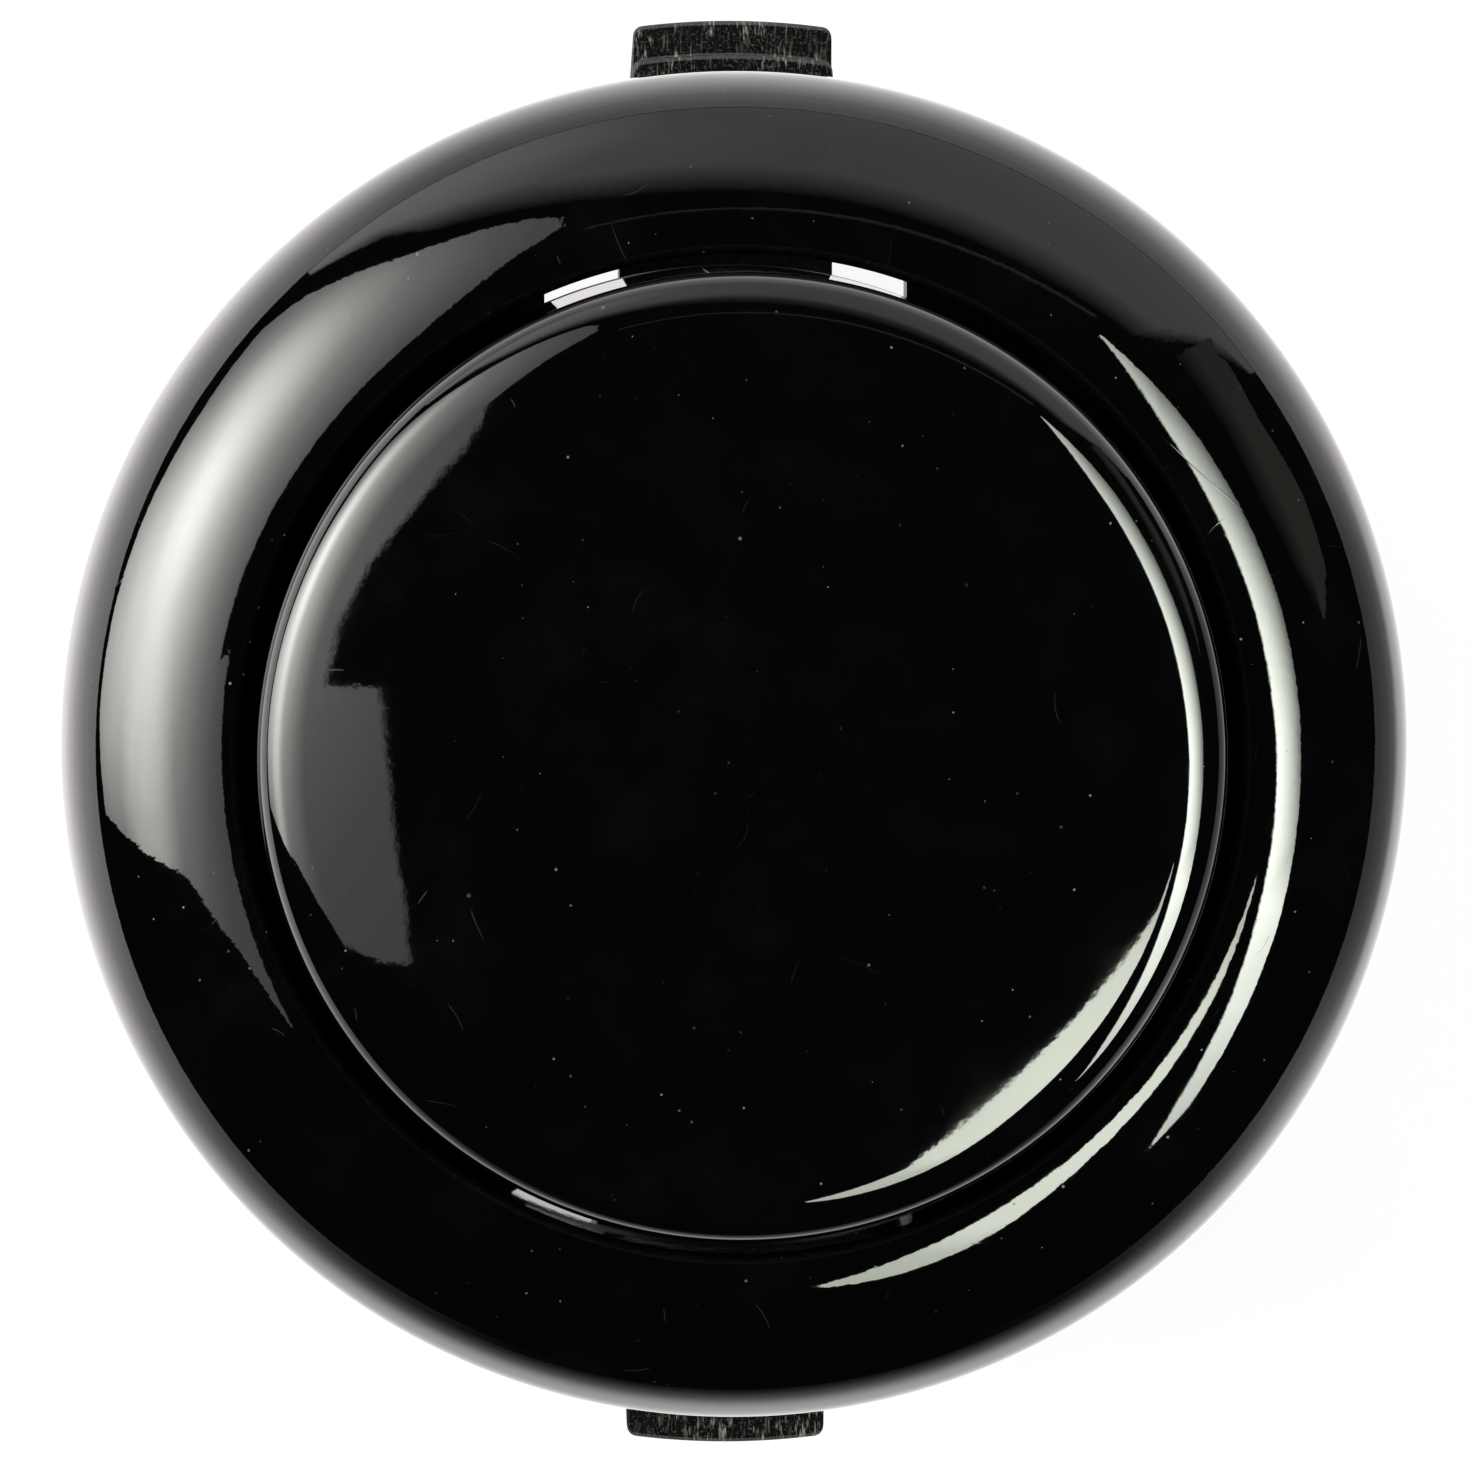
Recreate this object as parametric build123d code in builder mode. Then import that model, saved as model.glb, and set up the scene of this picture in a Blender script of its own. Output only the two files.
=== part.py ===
"""Snap-in arcade push button for a 30 mm panel hole, with the switch it works.

Z = 0 is the face of the panel under the rim and +Z points out of the panel, towards the player.
The two snap tongues stand on the Y axis and the switch lies along the X axis. Sizes are in mm.
"""

import os
from math import acos, asin, atan, cos, degrees, radians, sin, sqrt, tan

from build123d import *

os.makedirs("parts", exist_ok=True)

# Rim: a straight land, then an elliptical crown that rises to the rounded lip of the bore
rim_overhang = 1.95
rim_land = 0.4
crown_rise = 3.5
crown_reach = 5.0
lip_round = 0.5
edge_break = 0.15

# Barrel under the rim
barrel_radius = 14.75
barrel_wall = 1.5
barrel_depth = 17.5
barrel_lead = 0.5
bore_land = 1.0
rib_width = 1.2
rib_gap = 0.15
floor_depth = 7.0
floor_thickness = 1.4

# Snap tongues: leaves that lean out of the barrel, with three ledges for thin to thick panels
tongue_width = 5.1
tongue_lean = 0.158
leaf_inset = 0.15
tongue_top = 2.2
head_thickness = 0.94
step_width = 0.85
step_drop = 0.7
tooth_land = 0.5
ramp_length = 4.5
root_band = 3.5
tab_round = 0.35
window_gap = 2.05
window_top = 1.2
opening_width = 1.9
opening_depth = 1.9

# Plunger
plunger_radius = 11.85
plunger_gap = 0.4
cap_shoulder = 5.5
dome_rise = 1.25
cap_round = 0.9
shoulder_round = 3.6
shoulder_tilt = 20.5
cap_wall = 1.5
cap_roof = 1.6
skirt_drop = 2.5
travel = 2.0
stop_gap = 0.1
stem_radius = 1.8
stem_gap = 0.3
leg_room = 0.7
leg_width = 4.0
leg_thickness = 1.3
leg_gap = 0.15
barb_depth = 0.9
barb_land = 0.6
barb_slope = 1.2
hook_play = 0.1

# Return spring, round the stem and a boss on the floor
boss_wall = 0.6
boss_height = 0.8
spring_gap = 0.15
spring_wire = 0.4
spring_turns = 5
wire_sides = 8
pad_margin = 0.4
pad_drop = 0.5
seat_gap = 0.02

# Switch case and cover
case_length = 19.6
case_depth = 10.0
switch_height = 9.6
case_wall = 1.0
case_base = 1.2
case_round = 0.6
case_bevel = 0.3
cover_thickness = 1.2
lip_depth = 1.0
lip_wall = 0.8
lip_gap = 0.08
guide_wall = 0.8
guide_depth = 0.6

# Latches and rails that hold the switch in the barrel
latch_gap = 0.1
latch_thickness = 1.2
latch_width = 5.0
latch_hook = 0.8
latch_height = 1.2
latch_play = 0.05
rail_offset = 6.5
rail_width = 1.0
rail_length = 6.0
rail_gap = 0.1

# Switch actuator
pin_radius = 1.6
pin_gap = 0.15
pin_spare = 0.4
pin_round = 0.3
flange_reach = 0.9
flange_thickness = 0.9
flange_gap = 0.05
nose_radius = 0.9
nose_width = 2.6
nose_gap = 0.05

# Terminals, contacts and contact arm
terminal_width = 2.8
terminal_thickness = 0.5
terminal_length = 6.5
terminal_inset = 2.55
terminal_hole = 0.6
terminal_bevel = 0.6
insert_gap = 0.03
upright_width = 4.2
window_bridge = 0.7
arm_thickness = 0.3
arm_width = 3.6
arm_tail_width = 1.6
arm_tail = 0.85
arm_shoulder = 0.6
arm_overhang = 1.5
pivot_gap = 0.07
contact_reach = 9.85
contact_radius = 1.1
contact_head = 0.5
contact_dome = 0.25
contact_shank = 0.55
contact_gap = 0.06
rivet_radius = 0.85
rivet_head = 0.25
fixed_head = 0.4

# Arm spring, on a peg of the case floor
arm_spring_place = 4.05
arm_spring_radius = 1.25
arm_spring_wire = 0.25
arm_spring_turns = 3
peg_gap = 0.2
peg_height = 1.0

# Heights and radii that follow from the sizes above
bore_radius = plunger_radius + plunger_gap
barrel_inner = barrel_radius - barrel_wall
bore_flare = barrel_inner - bore_radius
rim_radius = barrel_radius + rim_overhang
crown_center = rim_radius - crown_reach
crown_sweep = degrees(acos((bore_radius - crown_center) / crown_reach))
floor_top = -floor_depth
floor_bottom = floor_top - floor_thickness

tongue_root = root_band - barrel_depth
ledge_top = -tongue_top
ledge_middle = ledge_top - step_drop
ledge_low = ledge_middle - step_drop
tooth_bottom = ledge_low - tooth_land
ramp_bottom = tooth_bottom - ramp_length
leaf_inner = barrel_inner + leaf_inset
leaf_outer = barrel_radius - leaf_inset
ramp_radius = leaf_outer + tongue_lean * (ramp_bottom - tongue_root)
tongue_inner = leaf_inner + tongue_lean * (ledge_top - tongue_root)
head_radius = tongue_inner + head_thickness
step_radius = head_radius + step_width
tip_radius = step_radius + step_width
window_half = tongue_width / 2 + window_gap
window_inner = sqrt(barrel_inner**2 - window_half**2) - leaf_inset

cap_top = cap_shoulder + dome_rise
dome_radius = (plunger_radius**2 + dome_rise**2) / (2 * dome_rise)
skirt_inner = plunger_radius - cap_wall
skirt_bottom = -skirt_drop
stop_top = skirt_bottom - travel - stop_gap
rib_inner = plunger_radius + rib_gap
dome_center = cap_top - dome_radius
turn_over = sin(radians(shoulder_tilt))
dome_reach = plunger_radius - cap_round + (cap_round - shoulder_round) * turn_over
dome_edge = dome_reach / (1 - shoulder_round / dome_radius)
dome_tilt = degrees(asin(dome_edge / dome_radius))
roof_edge = dome_center + sqrt(dome_radius**2 - skirt_inner**2) - cap_roof
pad_bottom = cap_top - cap_roof - pad_drop
leg_inner = case_depth / 2 + leg_room
leg_outer = leg_inner + leg_thickness
leg_top = dome_center + sqrt(dome_radius**2 - leg_outer**2) - cap_roof / 2
catch = floor_bottom - hook_play
leg_bottom = catch - barb_land - barb_slope

hole_radius = stem_radius + stem_gap
boss_radius = hole_radius + boss_wall
coil_radius = boss_radius + spring_gap + spring_wire / 2
pad_radius = coil_radius + spring_wire / 2 + pad_margin
coil_bottom = floor_top + spring_wire / 2 + seat_gap
coil_height = pad_bottom - floor_top - spring_wire - 2 * seat_gap

cover_bottom = floor_bottom - cover_thickness
case_bottom = floor_bottom - switch_height
case_floor = case_bottom + case_base
room_length = case_length - 2 * case_wall
room_depth = case_depth - 2 * case_wall
guide_bottom = cover_bottom - guide_depth
guide_radius = pin_radius + pin_gap
pin_top = floor_bottom + travel + pin_spare
flange_top = guide_bottom - flange_gap
flange_bottom = flange_top - flange_thickness

terminal_spread = case_length - 2 * terminal_inset
pivot_x = -terminal_spread / 2
tilt = atan(travel / terminal_spread)
fixed_top = case_floor + terminal_thickness + fixed_head
arm_half = arm_thickness / 2
pivot_z = fixed_top + contact_gap + contact_reach * sin(tilt) + (arm_half + contact_head) * cos(tilt)
fixed_x = pivot_x + contact_reach * cos(tilt) - (arm_half + contact_head) * sin(tilt)
nose_z = pivot_z - pivot_x * tan(tilt) + (arm_half + nose_radius + nose_gap) / cos(tilt)
pivot_room = (terminal_thickness / 2) * tan(tilt) + arm_half / cos(tilt) + pivot_gap
upright_top = pivot_z + pivot_room + window_bridge
arm_spring_x = pivot_x + arm_spring_place
arm_spring_outer = arm_spring_radius + arm_spring_wire / 2
arm_underside = pivot_z + (arm_spring_place - arm_spring_outer) * tan(tilt) - arm_half / cos(tilt)
arm_coil_height = arm_underside - case_floor - arm_spring_wire - 2 * seat_gap
peg_radius = arm_spring_radius - arm_spring_wire / 2 - peg_gap
arm_plane = Plane(
    origin=(pivot_x, 0, pivot_z),
    x_dir=(cos(tilt), 0, sin(tilt)),
    z_dir=(-sin(tilt), 0, cos(tilt)),
)
contact_plane = Plane(
    origin=(pivot_x + contact_reach * cos(tilt), 0, pivot_z + contact_reach * sin(tilt)),
    x_dir=arm_plane.x_dir,
    z_dir=arm_plane.z_dir,
)

# One snap tongue, moulded with the housing: a leaf with a stepped head and a ramp below it
with BuildPart() as tongue:
    with BuildSketch(Plane.YZ):
        with BuildLine():
            Polyline(
                (leaf_inner, tongue_root - root_band / 2),
                (leaf_outer, tongue_root - root_band / 2),
                (leaf_outer, tongue_root),
                (ramp_radius, ramp_bottom),
                (tip_radius, tooth_bottom),
                (tip_radius, ledge_low),
                (step_radius, ledge_low),
                (step_radius, ledge_middle),
                (head_radius, ledge_middle),
                (head_radius, ledge_top),
                (tongue_inner, ledge_top),
                (leaf_inner, tongue_root),
                close=True,
            )
        make_face()
    revolve(axis=Axis.Z)
    with Locations((0, rim_radius, -barrel_depth / 2)):
        Box(tongue_width, rim_radius, 2 * barrel_depth, mode=Mode.INTERSECT)
    corners = edges().filter_by(Axis.Z).filter_by_position(Axis.Z, tooth_bottom, ledge_top)
    fillet(corners, tab_round)

# Housing: rim, barrel, floor and everything moulded with them
with BuildPart() as housing:
    with BuildSketch(Plane.XZ):
        with BuildLine():
            crown = EllipticalCenterArc(
                (crown_center, rim_land), crown_reach, crown_rise, 0, arc_size=crown_sweep
            )
            Polyline(
                crown @ 1,
                (bore_radius, -bore_land),
                (barrel_inner, -bore_land - bore_flare),
                (barrel_inner, floor_top),
                (0, floor_top),
                (0, floor_bottom),
                (barrel_inner, floor_bottom),
                (barrel_inner, -barrel_depth),
                (barrel_radius - barrel_lead, -barrel_depth),
                (barrel_radius, barrel_lead - barrel_depth),
                (barrel_radius, 0),
                (rim_radius - edge_break, 0),
                (rim_radius, edge_break),
                crown @ 0,
            )
        make_face()
        fillet(vertices().sort_by(Axis.Y)[-1], lip_round)
    revolve(axis=Axis.Z)

    # Four ribs that guide the plunger's skirt below the bore, each with a ledge that stops it
    for rib_start, rib_top in ((rib_inner, -bore_land), (skirt_inner, stop_top)):
        with BuildSketch(Plane.XY.offset(floor_top)):
            with PolarLocations(rib_start, 4, start_angle=45):
                Rectangle(
                    barrel_inner + barrel_wall / 2 - rib_start,
                    rib_width,
                    align=(Align.MIN, Align.CENTER),
                )
        extrude(amount=rib_top - floor_top)

    # Boss for the return spring, the hole for the stem, the slots for the hooked legs, and
    # an opening on each side of each tongue
    with BuildSketch(Plane.XY.offset(floor_top)):
        Circle(boss_radius)
    extrude(amount=boss_height)
    with BuildSketch(Plane.XY.offset(floor_bottom)):
        Circle(hole_radius)
        with Locations((0, leg_inner - barb_depth - leg_gap)):
            Rectangle(
                leg_width + 2 * leg_gap,
                leg_thickness + barb_depth + 2 * leg_gap,
                align=(Align.CENTER, Align.MIN),
            )
        with Locations((window_half, window_inner), (opening_width - window_half, window_inner)):
            Rectangle(opening_width, opening_depth, align=(Align.MAX, Align.MAX))
        mirror(about=Plane.XZ)
    extrude(amount=floor_thickness + boss_height, mode=Mode.SUBTRACT)

    # Windows for the snap tongues to bend into
    with BuildSketch(Plane.XY.offset(tongue_root)):
        with Locations((0, window_inner)):
            Rectangle(2 * window_half, rim_radius, align=(Align.CENTER, Align.MIN))
        mirror(about=Plane.XZ)
    extrude(amount=-tongue_root - window_top, mode=Mode.SUBTRACT)
    with PolarLocations(0, 2):
        add(tongue.part)

    # Rails along the sides of the switch
    rail_start = case_depth / 2 + rail_gap
    rail_end = sqrt(barrel_inner**2 - rail_offset**2) + barrel_wall / 4
    with BuildSketch(Plane.XY.offset(floor_bottom)):
        with Locations((rail_offset, rail_start), (-rail_offset, rail_start)):
            Rectangle(rail_width, rail_end - rail_start, align=(Align.CENTER, Align.MIN))
        mirror(about=Plane.XZ)
    extrude(amount=-rail_length)

    # Latches that hook under the ends of the switch
    latch_inner = case_length / 2 + latch_gap
    latch_catch = case_bottom - latch_play
    with BuildSketch(Plane.XZ):
        with BuildLine():
            Polyline(
                (latch_inner, floor_bottom),
                (latch_inner + latch_thickness, floor_bottom),
                (latch_inner + latch_thickness, latch_catch - latch_height),
                (latch_inner - latch_gap, latch_catch - latch_height),
                (latch_inner - latch_hook, latch_catch - latch_height / 3),
                (latch_inner - latch_hook, latch_catch),
                (latch_inner, latch_catch),
                close=True,
            )
        make_face()
        mirror(about=Plane.YZ)
    extrude(amount=latch_width / 2, both=True)
housing.part.label = "housing"

# Plunger: cap and skirt, stem, spring pad and two hooked legs
with BuildPart() as plunger:
    with BuildSketch(Plane.XZ):
        with BuildLine():
            dome_end = dome_center + sqrt(dome_radius**2 - dome_edge**2)
            dome = RadiusArc((0, cap_top), (dome_edge, dome_end), dome_radius)
            shoulder = JernArc(dome @ 1, dome % 1, shoulder_round, dome_tilt - shoulder_tilt)
            edge = JernArc(shoulder @ 1, shoulder % 1, cap_round, shoulder_tilt - 90)
            Polyline(
                edge @ 1,
                (plunger_radius, skirt_bottom),
                (skirt_inner, skirt_bottom),
                (skirt_inner, roof_edge),
                (0, cap_top - cap_roof),
                dome @ 0,
            )
        make_face()
    revolve(axis=Axis.Z)
    with BuildSketch(Plane.XY.offset(pad_bottom)):
        Circle(pad_radius)
    extrude(amount=pad_drop + cap_roof / 2)
    with BuildSketch(Plane.XY.offset(pin_top)):
        Circle(stem_radius)
    extrude(amount=cap_top - cap_roof / 2 - pin_top)
    with BuildSketch(Plane.YZ):
        with BuildLine():
            Polyline(
                (leg_inner, leg_top),
                (leg_outer, leg_top),
                (leg_outer, catch),
                (leg_outer + barb_depth, catch),
                (leg_outer + barb_depth, catch - barb_land),
                (leg_outer - leg_thickness / 2, leg_bottom),
                (leg_inner, leg_bottom),
                close=True,
            )
        make_face()
        mirror(about=Plane.YZ)
    extrude(amount=leg_width / 2, both=True)
plunger.part.label = "plunger"

# Return spring, its wire drawn with flat sides to keep the facets few
with BuildPart() as return_spring:
    with BuildLine():
        coil = Helix(coil_height / spring_turns, coil_height, coil_radius, center=(0, 0, coil_bottom))
    with BuildSketch(Plane(origin=coil @ 0, z_dir=coil % 0)):
        RegularPolygon(spring_wire / 2, wire_sides)
    sweep(is_frenet=True)
return_spring.part.label = "return_spring"

# Switch case, with slots for the terminals and a peg for the arm spring
with BuildPart() as switch_case:
    with BuildSketch(Plane.XY.offset(case_bottom)):
        RectangleRounded(case_length, case_depth, case_round)
    extrude(amount=cover_bottom - case_bottom)
    chamfer(faces().sort_by(Axis.Z)[0].edges(), case_bevel)
    with BuildSketch(Plane.XY.offset(case_floor)):
        Rectangle(room_length, room_depth)
    extrude(amount=cover_bottom - case_floor, mode=Mode.SUBTRACT)
    with BuildSketch(Plane.XY.offset(case_floor)):
        with Locations((arm_spring_x, 0)):
            Circle(peg_radius)
    extrude(amount=peg_height)
    with BuildSketch(Plane.XY.offset(case_bottom)):
        with GridLocations(terminal_spread, 0, 2, 1):
            Rectangle(terminal_thickness + 2 * insert_gap, terminal_width + 2 * insert_gap)
    extrude(amount=case_base, mode=Mode.SUBTRACT)
switch_case.part.label = "switch_case"

# Switch cover: a plate with a lip inside the case and a guide for the actuator
with BuildPart() as switch_cover:
    with BuildSketch(Plane.XY.offset(cover_bottom)):
        RectangleRounded(case_length, case_depth, case_round)
    extrude(amount=cover_thickness)
    with BuildSketch(Plane.XY.offset(cover_bottom)):
        Rectangle(room_length - 2 * lip_gap, room_depth - 2 * lip_gap)
        Rectangle(
            room_length - 2 * (lip_gap + lip_wall),
            room_depth - 2 * (lip_gap + lip_wall),
            mode=Mode.SUBTRACT,
        )
    extrude(amount=-lip_depth)
    with BuildSketch(Plane.XY.offset(cover_bottom)):
        Circle(guide_radius + guide_wall)
    extrude(amount=-guide_depth)
    with BuildSketch(Plane.XY.offset(guide_bottom)):
        Circle(guide_radius)
    extrude(amount=guide_depth + cover_thickness, mode=Mode.SUBTRACT)
switch_cover.part.label = "switch_cover"

# Switch actuator: a pin with a stop flange and a rounded nose
with BuildPart() as switch_actuator:
    with BuildSketch(Plane.XY.offset(flange_bottom)):
        Circle(pin_radius)
    extrude(amount=pin_top - flange_bottom)
    fillet(faces().sort_by(Axis.Z)[-1].edges(), pin_round)
    with BuildSketch(Plane.XY.offset(flange_bottom)):
        Circle(pin_radius + flange_reach)
    extrude(amount=flange_thickness)
    with BuildSketch(Plane.XZ):
        with Locations((0, nose_z)):
            Circle(nose_radius)
            Rectangle(2 * nose_radius, flange_bottom - nose_z, align=(Align.CENTER, Align.MIN))
    extrude(amount=nose_width / 2, both=True)
switch_actuator.part.label = "switch_actuator"

# Common terminal: a flat stamping whose upright holds the tail of the contact arm
with BuildPart() as common_terminal:
    with BuildSketch(Plane.YZ.offset(pivot_x)):
        with Locations((0, case_floor)):
            Rectangle(upright_width, upright_top - case_floor, align=(Align.CENTER, Align.MIN))
            Rectangle(terminal_width, case_base + terminal_length, align=(Align.CENTER, Align.MAX))
        tip = vertices().group_by(Axis.Y)[0]
        chamfer(tip, terminal_bevel)
        with Locations((0, case_bottom - terminal_length / 2)):
            Circle(terminal_hole, mode=Mode.SUBTRACT)
        with Locations((0, pivot_z)):
            Rectangle(arm_tail_width + 2 * pivot_gap, 2 * pivot_room, mode=Mode.SUBTRACT)
    extrude(amount=terminal_thickness / 2, both=True)
common_terminal.part.label = "common_terminal"

# Normally open terminal: a blade bent along the case floor to the fixed contact
with BuildPart() as open_terminal:
    with BuildSketch(Plane.YZ.offset(-pivot_x)):
        with Locations((0, case_floor)):
            Rectangle(terminal_width, case_base + terminal_length, align=(Align.CENTER, Align.MAX))
        tip = vertices().group_by(Axis.Y)[0]
        chamfer(tip, terminal_bevel)
        with Locations((0, case_bottom - terminal_length / 2)):
            Circle(terminal_hole, mode=Mode.SUBTRACT)
    extrude(amount=terminal_thickness / 2, both=True)
    strip_start = fixed_x - contact_radius - arm_thickness
    strip_end = terminal_thickness / 2 - pivot_x
    with BuildSketch(Plane.XY.offset(case_floor)):
        with Locations((strip_start, 0)):
            Rectangle(strip_end - strip_start, upright_width, align=(Align.MIN, Align.CENTER))
        with Locations((fixed_x, 0)):
            Circle(contact_shank, mode=Mode.SUBTRACT)
    extrude(amount=terminal_thickness)
open_terminal.part.label = "open_terminal"

# Fixed contact: a rivet in the strip
with BuildPart() as fixed_contact:
    with BuildSketch(Plane.XY.offset(case_floor)):
        with Locations((fixed_x, 0)):
            Circle(contact_shank)
    extrude(amount=terminal_thickness)
    with BuildSketch(Plane.XY.offset(fixed_top)):
        with Locations((fixed_x, 0)):
            Circle(contact_radius)
    extrude(amount=-fixed_head)
fixed_contact.part.label = "fixed_contact"

# Contact arm, tilted up at rest, with its tail through the upright's window
with BuildPart() as contact_arm:
    with BuildSketch(arm_plane):
        with Locations((-arm_tail, 0)):
            Rectangle(arm_tail + arm_shoulder, arm_tail_width, align=(Align.MIN, Align.CENTER))
        with Locations((arm_shoulder, 0)):
            Rectangle(
                contact_reach + arm_overhang - arm_shoulder,
                arm_width,
                align=(Align.MIN, Align.CENTER),
            )
        with Locations((contact_reach, 0)):
            Circle(contact_shank, mode=Mode.SUBTRACT)
    extrude(amount=arm_half, both=True)
contact_arm.part.label = "contact_arm"

# Moving contact: a rivet through the arm with a domed face below
with BuildPart() as moving_contact:
    with BuildSketch(contact_plane.offset(-arm_half)):
        Circle(contact_shank)
    extrude(amount=arm_thickness)
    with BuildSketch(contact_plane.offset(arm_half)):
        Circle(rivet_radius)
    extrude(amount=rivet_head)
    with BuildSketch(contact_plane.offset(-arm_half)):
        Circle(contact_radius)
    extrude(amount=contact_dome - contact_head)
    with BuildSketch(contact_plane.offset(contact_dome - contact_head - arm_half)):
        Circle(contact_radius)
    with BuildSketch(contact_plane.offset(-contact_head - arm_half)):
        Circle(contact_radius / 3)
    loft()
moving_contact.part.label = "moving_contact"

# Arm spring
with BuildPart() as arm_spring:
    with BuildLine():
        arm_coil = Helix(
            arm_coil_height / arm_spring_turns,
            arm_coil_height,
            arm_spring_radius,
            center=(arm_spring_x, 0, case_floor + arm_spring_wire / 2 + seat_gap),
        )
    with BuildSketch(Plane(origin=arm_coil @ 0, z_dir=arm_coil % 0)):
        RegularPolygon(arm_spring_wire / 2, wire_sides)
    sweep(is_frenet=True)
arm_spring.part.label = "arm_spring"

export_step(housing.part, "parts/housing.step")
export_step(plunger.part, "parts/plunger.step")
export_step(return_spring.part, "parts/return_spring.step")
export_step(switch_case.part, "parts/switch_case.step")
export_step(switch_cover.part, "parts/switch_cover.step")
export_step(switch_actuator.part, "parts/switch_actuator.step")
export_step(common_terminal.part, "parts/common_terminal.step")
export_step(open_terminal.part, "parts/open_terminal.step")
export_step(fixed_contact.part, "parts/fixed_contact.step")
export_step(contact_arm.part, "parts/contact_arm.step")
export_step(moving_contact.part, "parts/moving_contact.step")
export_step(arm_spring.part, "parts/arm_spring.step")
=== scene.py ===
"""Looks of the arcade push button: gloss black mouldings, and the switch and springs under them.

Shapes are worked out in millimetres in the frame of the solids and put into the scene in metres.
"""

from math import acos, asin, atan2, cos, hypot, pi, radians, sin, sqrt, tan

import bmesh
import bpy
from mathutils import Matrix, Vector


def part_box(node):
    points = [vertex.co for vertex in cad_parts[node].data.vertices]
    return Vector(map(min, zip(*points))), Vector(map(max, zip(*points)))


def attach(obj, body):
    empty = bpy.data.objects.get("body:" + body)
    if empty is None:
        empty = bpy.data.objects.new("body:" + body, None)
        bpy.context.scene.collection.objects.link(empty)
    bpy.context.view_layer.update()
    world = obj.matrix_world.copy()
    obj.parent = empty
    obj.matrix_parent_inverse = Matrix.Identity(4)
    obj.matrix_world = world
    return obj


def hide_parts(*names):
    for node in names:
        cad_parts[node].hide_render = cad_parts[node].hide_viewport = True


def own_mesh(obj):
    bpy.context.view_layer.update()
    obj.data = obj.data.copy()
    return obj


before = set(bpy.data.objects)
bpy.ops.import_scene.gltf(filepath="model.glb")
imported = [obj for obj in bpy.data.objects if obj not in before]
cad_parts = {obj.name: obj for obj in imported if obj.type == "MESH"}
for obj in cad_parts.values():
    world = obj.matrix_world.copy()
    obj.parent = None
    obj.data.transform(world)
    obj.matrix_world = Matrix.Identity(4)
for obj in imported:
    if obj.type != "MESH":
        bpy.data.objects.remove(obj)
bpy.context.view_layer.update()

MM = 0.001


def box_mm(node):
    """Lowest and highest corner of a node, in millimetres."""
    low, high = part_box(node)
    return low / MM, high / MM


housing_high = box_mm("housing")[1]
plunger_low, plunger_high = box_mm("plunger")
spring_low, spring_high = box_mm("return_spring")
arm_spring_low, arm_spring_high = box_mm("arm_spring")
case_low, case_high = box_mm("switch_case")
cover_high = box_mm("switch_cover")[1]
terminal_low = box_mm("common_terminal")[0]

# Rim and bore; a ring of faces EDGE_HOLD wide beside a rounding keeps the shading of the wall even,
# and the burr along the lip fades out from BURR_FULL to BURR_END past the bore
RIM_RADIUS = housing_high.x
RIM_LAND = 0.4
RIM_EDGE = 0.18
CROWN_RISE = 3.5
CROWN_REACH = 5.0
LIP_ROUND = 0.27
EDGE_HOLD = 0.03
BURR_FULL = 0.25
BURR_END = 0.6
PLUNGER_RADIUS = plunger_high.x
PLUNGER_GAP = 0.4
BORE_RADIUS = PLUNGER_RADIUS + PLUNGER_GAP
BORE_LAND = 1.0

# Barrel, floor, boss and guide ribs; a cut stands out by CUT_SPARE, and what is added sinks in by JOIN
BARREL_RADIUS = 14.75
BARREL_INNER = 13.25
BARREL_BOTTOM = -17.5
BARREL_LEAD = 0.5
FLOOR_BOTTOM = cover_high.z
FLOOR_THICKNESS = 1.4
FLOOR_TOP = FLOOR_BOTTOM + FLOOR_THICKNESS
BOSS_RADIUS = 2.7
BOSS_HEIGHT = 0.8
HOLE_RADIUS = 2.1
EDGE_ROUND = 0.12
RIB_WIDTH = 1.2
RIB_COUNT = 4
FIRST_RIB = 45
RIB_GAP = 0.15
RIB_INNER = PLUNGER_RADIUS + RIB_GAP
RIB_SINK = 0.2
RIB_ROOT = 0.5
CUT_SPARE = 1.0
JOIN = 0.3

# Snap tongues, rounded at the sides past FLANK_INNER and above FLANK_BOTTOM, and their windows
TIP_RADIUS = housing_high.y
TONGUE_WIDTH = 4.96
TONGUE_ROUND = 0.22
LEAF_INNER = 13.4
LEAF_OUTER = 14.6
LEAF_SINK = 1.75
HEAD_INNER = 15.26
STEP_WIDTH = 0.85
HEAD_RADIUS = TIP_RADIUS - 2 * STEP_WIDTH
LEDGES = (-2.2, -2.9, -3.6)
LEDGE_ROUND = 0.13
TOOTH_BOTTOM = -4.1
FLANK_INNER = 15.56
FLANK_BOTTOM = -4.7
RAMP_BOTTOM = -8.6
RAMP_RADIUS = 15.45
RAMP_ROUND = 0.8
TONGUE_ROOT = -14.0
WINDOW_HALF = 4.6
WINDOW_TOP = -1.2
WINDOW_SPARE = 0.15
WINDOW_INNER = sqrt(BARREL_INNER**2 - WINDOW_HALF**2) - WINDOW_SPARE
OPENING_WIDTH = 1.9
OPENING_DEPTH = 1.9
OPENING_SPARE = 0.2

# Rails and latches for the switch
RAIL_OFFSET = 6.5
RAIL_WIDTH = 1.0
RAIL_LENGTH = 6.0
RAIL_GAP = 0.1
RAIL_START = case_high.y + RAIL_GAP
RAIL_SINK = 0.4
LATCH_GAP = 0.1
LATCH_INNER = case_high.x + LATCH_GAP
LATCH_THICKNESS = 1.2
LATCH_WIDTH = 5.0
LATCH_HOOK = 0.8
LATCH_PLAY = 0.05
LATCH_CATCH = case_low.z - LATCH_PLAY
LATCH_HEIGHT = 1.2
LATCH_LEAD = 0.1
LATCH_ROUND = 0.2
NOSE_ROUND = 0.15
CATCH_ROUND = 0.08

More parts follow.
